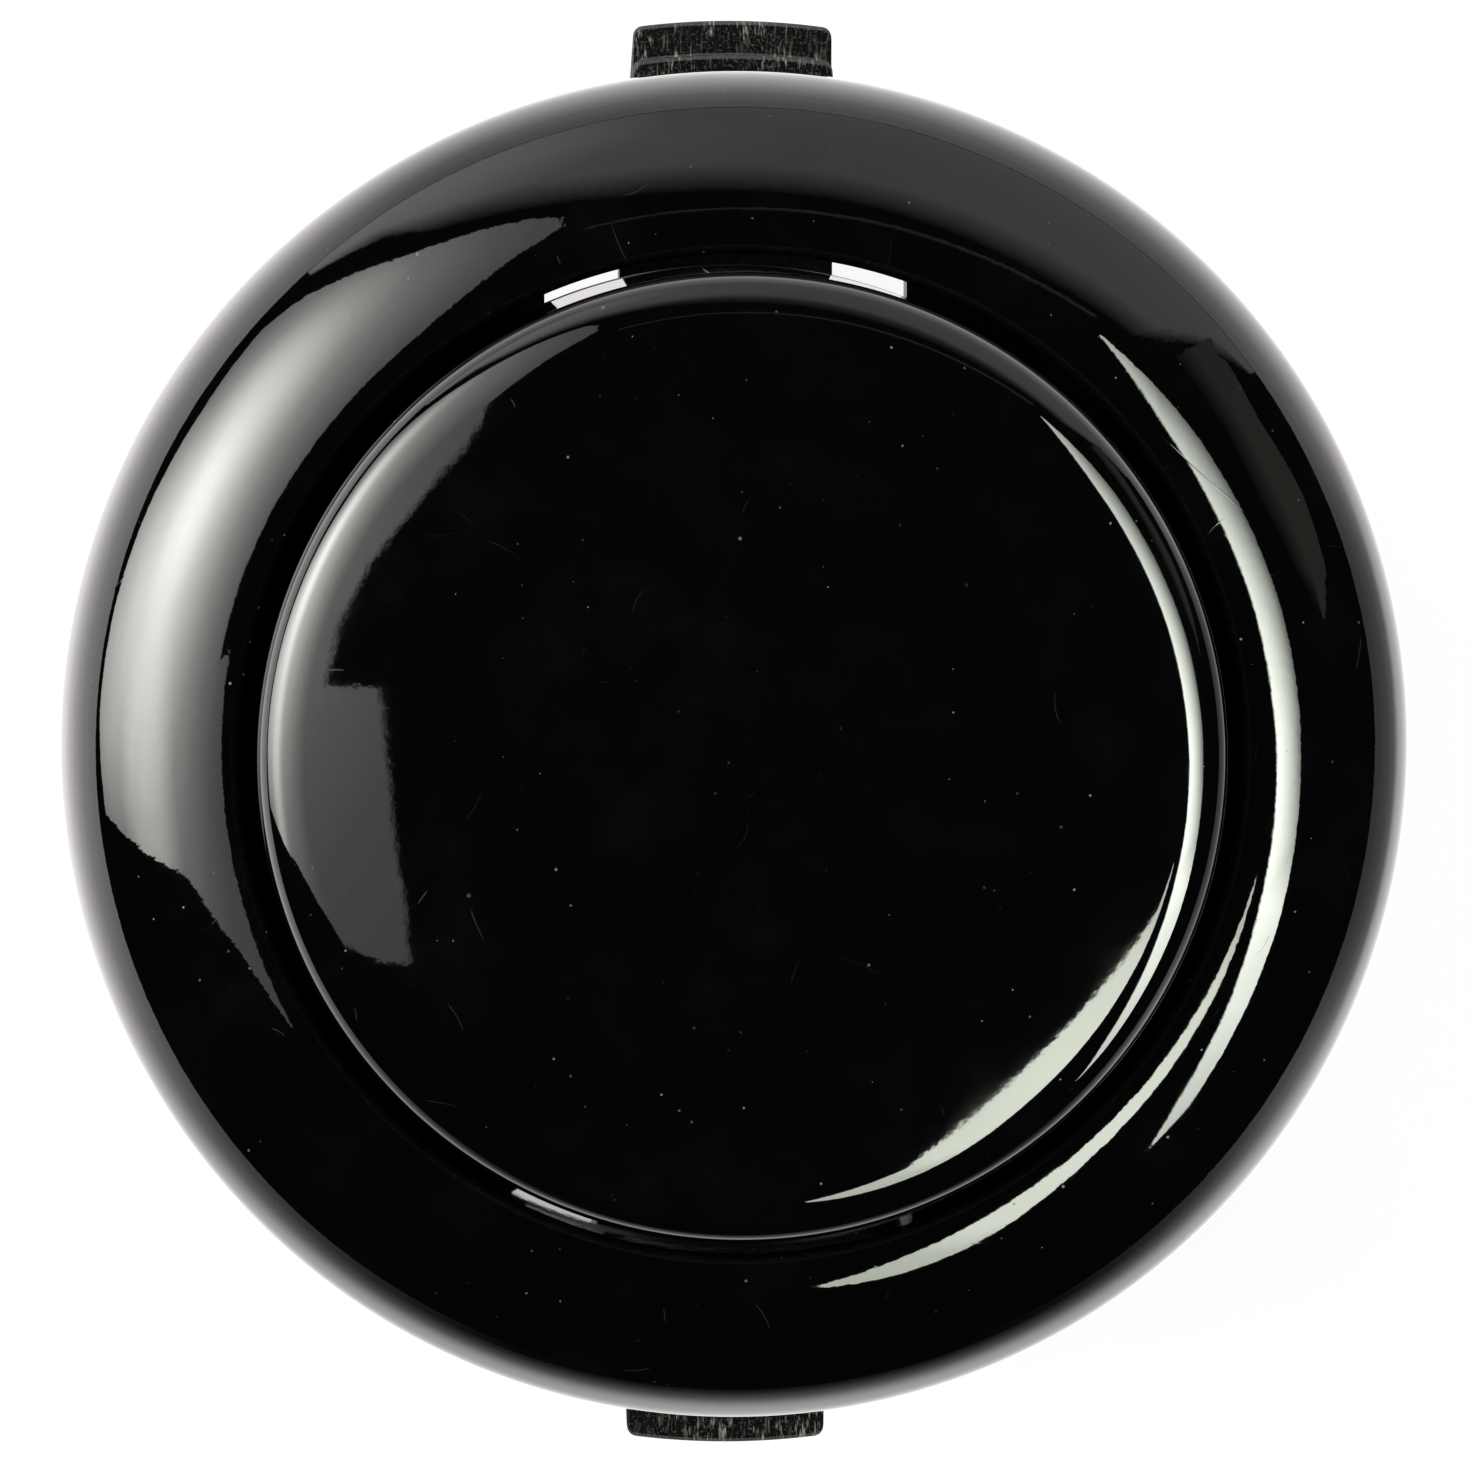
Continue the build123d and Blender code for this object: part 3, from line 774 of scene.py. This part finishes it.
def scuffed_plastic(name, ground):
    """Snap tongues: matt black, rubbed pale in short streaks that run the way they slide; a pale ground
    gives the painted highlight on the ledge edges.
    """
    made, tree, shader = material(name, IOR=1.45, Specular_IOR_Level=0.03)
    place = tree.millimetres()
    fine = tree.noise(tree.millimetres((14.0, 2.4, 2.4)), scale=1.0, detail=3.0, roughness=0.65)
    broad = tree.noise(tree.millimetres((2.2, 0.9, 0.9)), scale=1.0, detail=2.0)
    grain = tree.noise(place, scale=15.0, detail=3.0, roughness=0.6)
    streaks = tree.math("MULTIPLY", tree.ramp(fine, 0.52, 0.72), tree.ramp(broad, 0.38, 0.62, 0.12, 1.0))
    chips = tree.math("MULTIPLY", tree.ramp(grain, 0.54, 0.74), 0.3)
    worn = tree.math("MAXIMUM", streaks, chips)
    colour = tree.mix(worn, grey(ground), (0.46, 0.46, 0.4, 1))
    tree.put(colour, shader.inputs["Base Color"])
    tree.put(tree.ramp(worn, 0.0, 1.0, 0.5, 0.7), shader.inputs["Roughness"])
    tree.put(tree.bump(tree.math("ADD", fine, grain), 0.012), shader.inputs["Normal"])
    return made


def matt_plastic(name, colour, pale, rough):
    """Glass-filled moulding: fine spark texture, faint flow marks and pale specks."""
    made, tree, shader = material(name, IOR=1.5)
    place = tree.millimetres()
    grain = tree.noise(place, scale=7.0, detail=4.0, roughness=0.6)
    flow = tree.noise(tree.millimetres((0.25, 0.7, 0.5)), scale=1.0, detail=3.0)
    cells = tree.add("TexVoronoi", {"Vector": place, "Scale": 3.2})
    specks = tree.math("LESS_THAN", cells.outputs["Distance"], 0.07)
    share = tree.math("ADD", tree.ramp(flow, 0.35, 0.75, 0.0, 0.5), tree.math("MULTIPLY", specks, 0.5))
    tree.put(tree.mix(share, colour, pale), shader.inputs["Base Color"])
    tree.put(tree.ramp(grain, 0.3, 0.7, rough - 0.08, rough + 0.08), shader.inputs["Roughness"])
    tree.put(tree.bump(grain, 0.01), shader.inputs["Normal"])
    return made


def strip_metal(name, colour, worn, stretch, rough):
    """Rolled or drawn metal: fine lines along the strip, with patches of tarnish."""
    made, tree, shader = material(name, Metallic=1.0)
    place = tree.millimetres()
    lines = tree.noise(tree.millimetres(stretch), scale=1.0, detail=3.0, roughness=0.6)
    tarnish = tree.ramp(tree.noise(place, scale=0.7, detail=4.0, roughness=0.6), 0.42, 0.72)
    tree.put(tree.mix(tarnish, colour, worn), shader.inputs["Base Color"])
    lined = tree.ramp(lines, 0.3, 0.7, rough - 0.07, rough + 0.07)
    tree.put(tree.math("ADD", lined, tree.math("MULTIPLY", tarnish, 0.1)), shader.inputs["Roughness"])
    tree.put(tree.bump(lines, 0.0025), shader.inputs["Normal"])
    return made


def paint(piece, *finishes):
    """Gives the piece its materials."""
    piece.data.materials.clear()
    for made in finishes:
        piece.data.materials.append(made)


def soften(node, width_mm):
    """Breaks the sharp edges of a carried-over solid."""
    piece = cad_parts[node]
    weld = piece.modifiers.new("weld", "WELD")
    weld.merge_threshold = WELD_REACH * MM
    edge = piece.modifiers.new("edge", "BEVEL")
    edge.width = width_mm * MM
    edge.segments = BEVEL_SEGMENTS
    edge.limit_method = "ANGLE"
    edge.angle_limit = radians(BEVEL_ANGLE)
    edge.harden_normals = True


RIM_GLOSS = gloss_plastic("rim_gloss", offset=3.7, skin_mm=0.0009, burr_mm=0.0016)
CAP_GLOSS = gloss_plastic("cap_gloss", offset=11.3, skin_mm=0.0005, burr_mm=0.0)
BARREL_SATIN = satin_plastic("barrel_satin")
TONGUE_MATT = scuffed_plastic("tongue_matt", ground=0.003)
# The ledge edges take a copy with a paler ground: a painted highlight on the edges that face up
TONGUE_EDGE_HIGHLIGHT = scuffed_plastic("tongue_edge_highlight", ground=0.07)
EDGE_DULL = dull_plastic("edge_dull")
HOUSING_FINISHES = (RIM_GLOSS, BARREL_SATIN, TONGUE_MATT, EDGE_DULL, TONGUE_EDGE_HIGHLIGHT)
PLUNGER_FINISHES = (CAP_GLOSS, EDGE_DULL)

# Borders between the housing's finishes: margins and heights in millimetres, and how far a face leans
FACE_MARGIN = 0.01
BORE_MARGIN = 0.05
RIM_BOTTOM = -0.02
TONGUE_FOOT = -13.5
LIP_LEAN = (-0.97, -0.08)
# Ledge faces that lean up within this range carry the painted highlight
HIGHLIGHT_LEAN = (0.25, 0.97)


def housing_finish(face):
    """The material of one of the housing's faces, by where it lies and how it leans."""
    x, y, z = face.center / MM
    away = hypot(x, y)
    outwards = face.normal.dot(Vector((x, y, 0)).normalized())
    by_lip = z > BORE_LAND and away < BORE_RADIUS + LIP_ROUND
    if by_lip and LIP_LEAN[0] < outwards < LIP_LEAN[1]:
        return EDGE_DULL
    in_window = abs(x) < TONGUE_WIDTH / 2 + FACE_MARGIN and abs(y) > WINDOW_INNER
    if in_window and TONGUE_FOOT < z < LEDGES[0] + FACE_MARGIN:
        # Rounded ledge edges that face up get the painted highlight
        on_highlight_edge = z > TOOTH_BOTTOM and HIGHLIGHT_LEAN[0] < face.normal.z < HIGHLIGHT_LEAN[1]
        return TONGUE_EDGE_HIGHLIGHT if on_highlight_edge else TONGUE_MATT
    in_bore = z > -BORE_LAND and away < BORE_RADIUS + BORE_MARGIN
    return BARREL_SATIN if z < RIM_BOTTOM and not in_bore else RIM_GLOSS


housing = make_housing()
paint(housing, *HOUSING_FINISHES)
for face in housing.data.polygons:
    face.material_index = HOUSING_FINISHES.index(housing_finish(face))
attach(housing, "housing")
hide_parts("housing")

plunger = make_plunger()
paint(plunger, *PLUNGER_FINISHES)
for face in plunger.data.polygons:
    x, y, z = face.center / MM
    if SKIRT_BOTTOM < z < SKIRT_DULL and hypot(x, y) > PLUNGER_RADIUS - SKIRT_ROUND:
        face.material_index = PLUNGER_FINISHES.index(EDGE_DULL)
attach(plunger, "plunger")
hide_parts("plunger")

WIRE = strip_metal(
    "spring_wire", (0.55, 0.55, 0.56, 1), (0.38, 0.37, 0.36, 1), stretch=(2, 2, 9), rough=0.24
)
coil_radius = (spring_high.x - spring_low.x - SPRING_WIRE) / 2
return_spring = make_spring(
    "return_spring_coil", (0, 0), coil_radius, spring_low.z, spring_high.z, SPRING_WIRE, SPRING_TURNS
)
paint(return_spring, WIRE)
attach(return_spring, "housing")
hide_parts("return_spring")
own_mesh(return_spring)

arm_spring_x = (arm_spring_low.x + arm_spring_high.x) / 2
arm_coil_radius = (arm_spring_high.x - arm_spring_low.x - ARM_SPRING_WIRE) / 2
arm_spring = make_spring(
    "arm_spring_coil",
    (arm_spring_x, 0),
    arm_coil_radius,
    arm_spring_low.z,
    arm_spring_high.z,
    ARM_SPRING_WIRE,
    ARM_SPRING_TURNS,
)
paint(arm_spring, WIRE)
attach(arm_spring, "housing")
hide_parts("arm_spring")
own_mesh(arm_spring)

BRASS = strip_metal(
    "tinned_brass", (0.72, 0.66, 0.5, 1), (0.5, 0.43, 0.29, 1), stretch=(9, 9, 0.6), rough=0.3
)
BRONZE = strip_metal(
    "arm_bronze", (0.62, 0.42, 0.25, 1), (0.42, 0.26, 0.14, 1), stretch=(0.6, 9, 9), rough=0.28
)
SILVER = strip_metal(
    "contact_silver", (0.8, 0.8, 0.78, 1), (0.5, 0.48, 0.44, 1), stretch=(4, 4, 4), rough=0.22
)
CASE = matt_plastic("switch_case", grey(0.02), (0.045, 0.045, 0.047, 1), rough=0.5)
COVER = matt_plastic("switch_cover", grey(0.03), (0.06, 0.06, 0.062, 1), rough=0.46)
NATURAL = matt_plastic("actuator_natural", (0.70, 0.69, 0.64, 1), (0.80, 0.79, 0.75, 1), rough=0.4)
for node, made, edge in (
    ("switch_case", CASE, 0.08),
    ("switch_cover", COVER, 0.08),
    ("switch_actuator", NATURAL, 0.05),
    ("common_terminal", BRASS, 0.05),
    ("open_terminal", BRASS, 0.05),
    ("contact_arm", BRONZE, 0.03),
    ("fixed_contact", SILVER, 0.05),
    ("moving_contact", SILVER, 0.05),
):
    paint(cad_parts[node], made)
    soften(node, width_mm=edge)

# Camera: nearly straight above, a little towards -X and +Y, with +Y up in the picture
IMAGE_SIZE = 1472
RIM_PIXELS = 674.7
CAMERA_AT = Vector((-11.0, 18.5, 260.0))
LOOK_AT = Vector((0.007, 0.252, RIM_LAND))
ROLL = radians(0.3)
SENSOR = 36.0
camera_data = bpy.data.cameras.new("camera")
camera = put_in_scene("camera", camera_data)
sight = LOOK_AT - CAMERA_AT
camera.location = CAMERA_AT * MM
back = -sight.normalized()
right = Vector((0, 1, 0)).cross(back).normalized()
up = back.cross(right)
camera.rotation_mode = "QUATERNION"
upright = Matrix((right, up, back)).transposed()
camera.rotation_quaternion = (upright @ Matrix.Rotation(ROLL, 3, "Z")).to_quaternion()
camera_data.sensor_width = SENSOR
camera_data.lens = SENSOR * (RIM_PIXELS / RIM_RADIUS) * sight.length / IMAGE_SIZE
camera_data.clip_start = 0.01
camera_data.clip_end = 50
bpy.context.scene.camera = camera


def glossy_only(piece):
    """The piece shows in reflections and nowhere else."""
    piece.visible_camera = False
    piece.visible_diffuse = False
    piece.visible_transmission = False
    piece.visible_volume_scatter = False
    piece.visible_shadow = False


def direction(azimuth, zenith):
    """A unit vector, by degrees round from +X and down from +Z."""
    a, z = radians(azimuth), radians(zenith)
    return Vector((cos(a) * sin(z), sin(a) * sin(z), cos(z)))


def fade(tree, value, stops):
    """A run through (value, result) stops, straight from one to the next."""
    first, last = stops[0][0], stops[-1][0]
    most = max(result for _, result in stops)
    span = {"Value": value, "From Min": first, "From Max": last}
    run = tree.add("ValToRGB", {0: tree.add("MapRange", span).outputs["Result"]})
    points = run.color_ramp.elements
    points[0].color = grey(stops[0][1] / most)
    points[1].color = grey(stops[-1][1] / most)
    for place, result in stops[1:-1]:
        points.new((place - first) / (last - first)).color = grey(result / most)
    return tree.math("MULTIPLY", run.outputs["Color"], most)


def lobe(tree, azimuth, zenith, *stops):
    """Strength by the angle in degrees from a direction, seen from the middle of the object."""
    out = tree.add("VectorMath", {0: tree.add("TexCoord").outputs["Object"]}, operation="NORMALIZE")
    toward = {0: out.outputs[0], 1: direction(azimuth, zenith)}
    near = tree.add("VectorMath", toward, operation="DOT_PRODUCT").outputs["Value"]
    angle = tree.math("MULTIPLY", tree.math("ARCCOSINE", near, 0), 180 / pi)
    return fade(tree, angle, stops)


def glow(name, colour, *lobes):
    """An emitting material: the sum of its lobes, less towards a soft edge."""
    made, tree = bare_material(name)
    strength = lobe(tree, *lobes[0])
    for other in lobes[1:]:
        strength = tree.math("ADD", strength, lobe(tree, *other))
    edge = tree.add("Attribute", attribute_name="edge").outputs["Fac"]
    strength = tree.math("MULTIPLY", strength, edge)
    tree.surface(tree.add("Emission", {"Color": colour, "Strength": strength}))
    return made


def card(name, verts, faces, edge, made):
    """A sheet that shows in reflections only; edge is 0 where it fades out."""
    mesh = bpy.data.meshes.new(name)
    mesh.from_pydata(verts, [], faces)
    mesh.attributes.new("edge", "FLOAT", "POINT").data.foreach_set("value", edge)
    piece = put_in_scene(name, mesh)
    paint(piece, made)
    glossy_only(piece)
    return piece


def sky_card(name, radius, soft, made, columns):
    """A card round the object through (azimuth, upper zenith, lower zenith) columns, in degrees.

    It fades in over its soft upper edge. A fourth value is the share of light left at the lower edge.
    """
    verts, faces, edge = [], [], []
    for azimuth, upper, lower, *last in columns:
        inner = min(upper + soft, (upper + lower) / 2)
        edge += [0.0, 1.0, *(last or [1.0])]
        verts += [direction(azimuth, zenith) * radius for zenith in (upper, inner, lower)]
    for i in range(0, len(verts) - 3, 3):
        faces += [[i, i + 1, i + 4, i + 3], [i + 1, i + 2, i + 5, i + 4]]
    card(name, verts, faces, edge, made)


# Stage: reaches in metres, the bounce sheet's lift in millimetres, its sides in degrees round from +X
FAR = 2.0
NEAR = 0.1
DOME_RADIUS = 3.0
DOME_FOOT = -0.15
DOME_COLUMNS = 48
DOME_ROWS = 90
BOUNCE_RADIUS = 2.98
BOUNCE_LIFT = 0.3
BOUNCE_STEPS = 96
BOUNCE_FRONT = -85
BOUNCE_LEFT = 168
BOUNCE_RIGHT = -4
LEFT_GLOW = 1.3
FLOOR_HALF = 3.0
FLOOR_GREY = 0.36
FLOOR_GLOW = 0.77
SKY_FILL = 0.35
LAMP_SIZE = 0.6

# Cards, drawn and lit so that the bright shapes lie in the gloss as they do in the photo
WINDOW_LIGHT = glow(
    "window_glow",
    (1.0, 0.985, 0.945, 1),
    (
        162,
        54,
        (0, 21),
        (6, 18.5),
        (12, 13),
        (18, 8.8),
        (24, 5.2),
        (30, 3.1),
        (36, 1.8),
        (40, 1.3),
        (46, 1.1),
    ),
    (147, 52, (0, 3), (6, 2.5), (12, 1.1), (18, 0)),
    (173, 79, (0, 5.5), (9, 4.5), (16, 2.2), (24, 0)),
    (188, 54, (0, 4), (8, 3), (16, 0)),
)
PANEL_LIGHT = glow(
    "panel_glow",
    (0.94, 1.0, 0.89, 1),
    (-8, 42, (0, 30), (6, 28), (12, 22), (20, 15.5), (30, 10.5), (36, 8)),
)
LOW_PANEL_LIGHT = glow(
    "low_panel_glow",
    (0.94, 1.0, 0.86, 1),
    (-47, 33, (0, 17), (9, 15.5), (12.5, 11), (17, 10)),
)
WALL_LIGHT = glow(
    "wall_glow",
    (0.97, 0.94, 1.0, 1),
    (85, 60, (0, 0.92), (45, 0.98), (90, 0.98)),
    (128, 86, (0, 1.5), (12, 1.1), (24, 0.5), (34, 0)),
    (108, 64, (0, 0.24), (12, 0.2), (24, 0)),
)
DIM_LIGHT = glow("dim_glow", (1.0, 1.0, 0.87, 1), (20, 60, (0, 0.36), (30, 0.26), (90, 0.22)))
DARK_LIGHT = glow("dark_glow", (0.9, 0.95, 1.0, 1), (0, 0, (0, 0.014), (90, 0.01)))

sky_card(
    "window_card",
    FAR,
    0.4,
    WINDOW_LIGHT,
    (
        (107, 31.5, 35.5),
        (110, 28.5, 39.5),
        (115, 25.5, 44),
        (120, 22.3, 48.5),
        (125, 20.2, 54.5),
        (130, 18.8, 64.5),
        (135, 18.3, 75.5),
        (140, 18.3, 82),
        (150, 18.5, 81.5),
        (160, 19.2, 84.6),
        (170, 20, 86.5),
        (180.1, 20.5, 87),
        (180.3, 17.4, 87),
        (190, 17.4, 83.6),
        (195, 17.5, 57),
        (200, 17.9, 38.5),
        (207.7, 18.7, 30.6),
        (212, 19.2, 26.8),
        (217, 20, 24.2),
        (221.5, 21.2, 23.1),
        (224, 21.9, 22.2),
    ),
)
sky_card(
    "panel_card_low",
    NEAR,
    0.12,
    LOW_PANEL_LIGHT,
    (
        (-79, 37.0, 37.8),
        (-75, 35.4, 39.4),
        (-70, 33.6, 40.2),
        (-65, 32.4, 40.2),
        (-60, 31.7, 39.2),
        (-50, 31.1, 36.2),
        (-40, 31.1, 35.4),
        (-30, 31.5, 34.6),
        (-24, 32.0, 33.8),
        (-19, 32.8, 33.2),
    ),
)
sky_card(
    "panel_card_high",
    NEAR,
    0.8,
    PANEL_LIGHT,
    (
        (-45, 50, 51.2),
        (-40, 45.6, 51.8),
        (-30, 40.8, 49.2),
        (-20, 37, 47.5, 0.8),
        (-14, 35.8, 46.2, 0.3),
        (-6, 34.2, 45, 0.12),
        (0, 33, 44.5, 0.1),
        (10, 31.9, 43.4, 0.1),
        (20, 30.7, 41.6, 0.12),
        (30, 31, 40.2, 0.2),
        (35, 32.8, 39.2, 0.3),
        (43, 37.2, 37.6),
    ),
)
sky_card(
    "wall_card",
    FAR,
    14.0,
    WALL_LIGHT,
    (
        (32, 84, 90),
        (37, 66, 90),
        (40.5, 42, 90),
        (50, 37.5, 90),
        (60, 35.5, 90),
        (75, 34.5, 90),
        (90, 34.8, 90),
        (100, 37, 90),
        (108, 43, 90),
        (115, 50, 90),
        (120, 56, 90),
        (125, 71, 90),
        (133, 85, 90),
    ),
)
SHELF = ((44, 36, 38), (55, 31, 33), (70, 27.6, 29.4), (85, 26.3, 27.5), (104, 26.8, 27.8))
sky_card("ledge_card", FAR, 1.0, DIM_LIGHT, SHELF)
CORNER = ((8, 59, 61), (13, 50, 70), (20, 46, 73), (28, 48, 70), (37, 50, 78))
sky_card("corner_card", FAR, 12.0, DIM_LIGHT, CORNER)


def make_dome():
    """Dark surroundings for the gloss to mirror, down past the floor."""
    work = bmesh.new()
    bmesh.ops.create_uvsphere(work, u_segments=DOME_COLUMNS, v_segments=DOME_ROWS, radius=DOME_RADIUS)
    low = [v for v in work.verts if v.co.z < DOME_FOOT]
    bmesh.ops.delete(work, geom=low, context="VERTS")
    verts = [v.co.copy() for v in work.verts]
    work.verts.index_update()
    faces = [[v.index for v in face.verts] for face in work.faces]
    work.free()
    card("dark_dome", verts, faces, [1.0] * len(verts), DARK_LIGHT)


make_dome()


def make_bounce():
    """A sheet on the floor that the gloss mirrors.

    It is bright round the object and most at its left, shaded at its right, and dark far in front.
    """
    made, tree = bare_material("bounce_glow")
    place = tree.add("TexCoord").outputs["Object"]
    away = tree.add("VectorMath", {0: place}, operation="LENGTH").outputs["Value"]
    away = tree.math("DIVIDE", away, MM)
    heading = tree.add("VectorMath", {0: place}, operation="NORMALIZE").outputs[0]

    def towards(azimuth):
        pair = {0: heading, 1: direction(azimuth, 90)}
        return tree.add("VectorMath", pair, operation="DOT_PRODUCT").outputs["Value"]

    # Strengths by the distance in millimetres from the axis, to the sides and in front
    near = (9, 0.75), (14, 1.0)
    side = fade(tree, away, (*near, (24, 2.3), (50, 2.45), (75, 1.95), (105, 1.5), (260, 1.2)))
    falling = (65, 1.9), (80, 1.2), (100, 0.65), (150, 0.22), (260, 0.01)
    front = fade(tree, away, (*near, (24, 1.5), (40, 1.75), (52, 2.2), *falling))
    share = tree.ramp(towards(BOUNCE_FRONT), 0.45, 0.97)
    level = tree.add("Mix", {0: share, 2: side, 3: front}).outputs[0]
    left = tree.math("MULTIPLY", tree.ramp(towards(BOUNCE_LEFT), 0.6, 1.0), LEFT_GLOW)
    left = tree.math("MULTIPLY", left, tree.ramp(away, 24, 40))
    shade = tree.ramp(away, 52, 70, to_low=0.0, to_high=0.55)
    shade = tree.math("MULTIPLY", tree.ramp(towards(BOUNCE_RIGHT), 0.86, 0.98), shade)
    level = tree.math("MULTIPLY", level, tree.math("SUBTRACT", 1.0, shade))
    strength = tree.math("ADD", level, left)
    tree.surface(tree.add("Emission", {"Color": (1.0, 0.96, 0.965, 1), "Strength": strength}))
    ring = [direction(360 * i / BOUNCE_STEPS, 90) * BOUNCE_RADIUS for i in range(BOUNCE_STEPS)]
    sheet = card("bounce_card", ring, [list(range(BOUNCE_STEPS))], [1.0] * BOUNCE_STEPS, made)
    sheet.location.z = (terminal_low.z + BOUNCE_LIFT) * MM


make_bounce()


def seen_or_mirrored(tree):
    """1 for rays from the camera, mirrors and clear pieces, and 0 for the rest."""
    path = tree.add("LightPath").outputs
    share = tree.math("MAXIMUM", path["Is Camera Ray"], path["Is Glossy Ray"])
    return tree.math("MAXIMUM", share, path["Is Transmission Ray"])


def make_floor():
    """A pale floor under the terminals: white to the eye, with the object's soft shadow."""
    half = FLOOR_HALF
    z = terminal_low.z * MM
    corners = [(-half, -half, z), (half, -half, z), (half, half, z), (-half, half, z)]
    mesh = bpy.data.meshes.new("floor")
    mesh.from_pydata(corners, [], [[0, 1, 2, 3]])
    piece = put_in_scene("floor", mesh)
    made, tree = bare_material("floor_pale")
    matt = tree.add("BsdfDiffuse", {"Color": grey(FLOOR_GREY)})
    strength = tree.math("MULTIPLY", seen_or_mirrored(tree), FLOOR_GLOW)
    light = tree.add("Emission", {"Color": grey(1.0), "Strength": strength})
    tree.surface(tree.add("AddShader", {0: matt.outputs[0], 1: light.outputs[0]}))
    paint(piece, made)


make_floor()


def make_world():
    """White to the eye and in mirrors, and a soft grey light on everything."""
    world = bpy.data.worlds.new("studio")
    bpy.context.scene.world = world
    tree = Tree(world)
    sky = tree.nodes["Background"]
    sky.inputs["Color"].default_value = grey(1.0)
    span = {"Value": seen_or_mirrored(tree), "To Min": SKY_FILL, "To Max": 1.0}
    strength = tree.add("MapRange", span)
    tree.put(strength.outputs["Result"], sky.inputs["Strength"])


make_world()


def lamp(name, place, watts):
    """A large soft lamp at a place in metres; it lights the object and doesn't show in its gloss."""
    data = bpy.data.lights.new(name, "AREA")
    data.size = LAMP_SIZE
    data.energy = watts
    piece = put_in_scene(name, data)
    piece.location = place
    piece.rotation_mode = "QUATERNION"
    piece.rotation_quaternion = Vector(place).to_track_quat("Z", "Y")
    piece.visible_glossy = False


lamp("lamp_left", (-0.7, 0.25, 0.6), watts=4.4)
lamp("lamp_right", (0.6, -0.3, 0.7), watts=3.0)
lamp("lamp_back", (0.1, 0.8, 0.5), watts=2.4)

bpy.context.scene.view_settings.view_transform = "Standard"
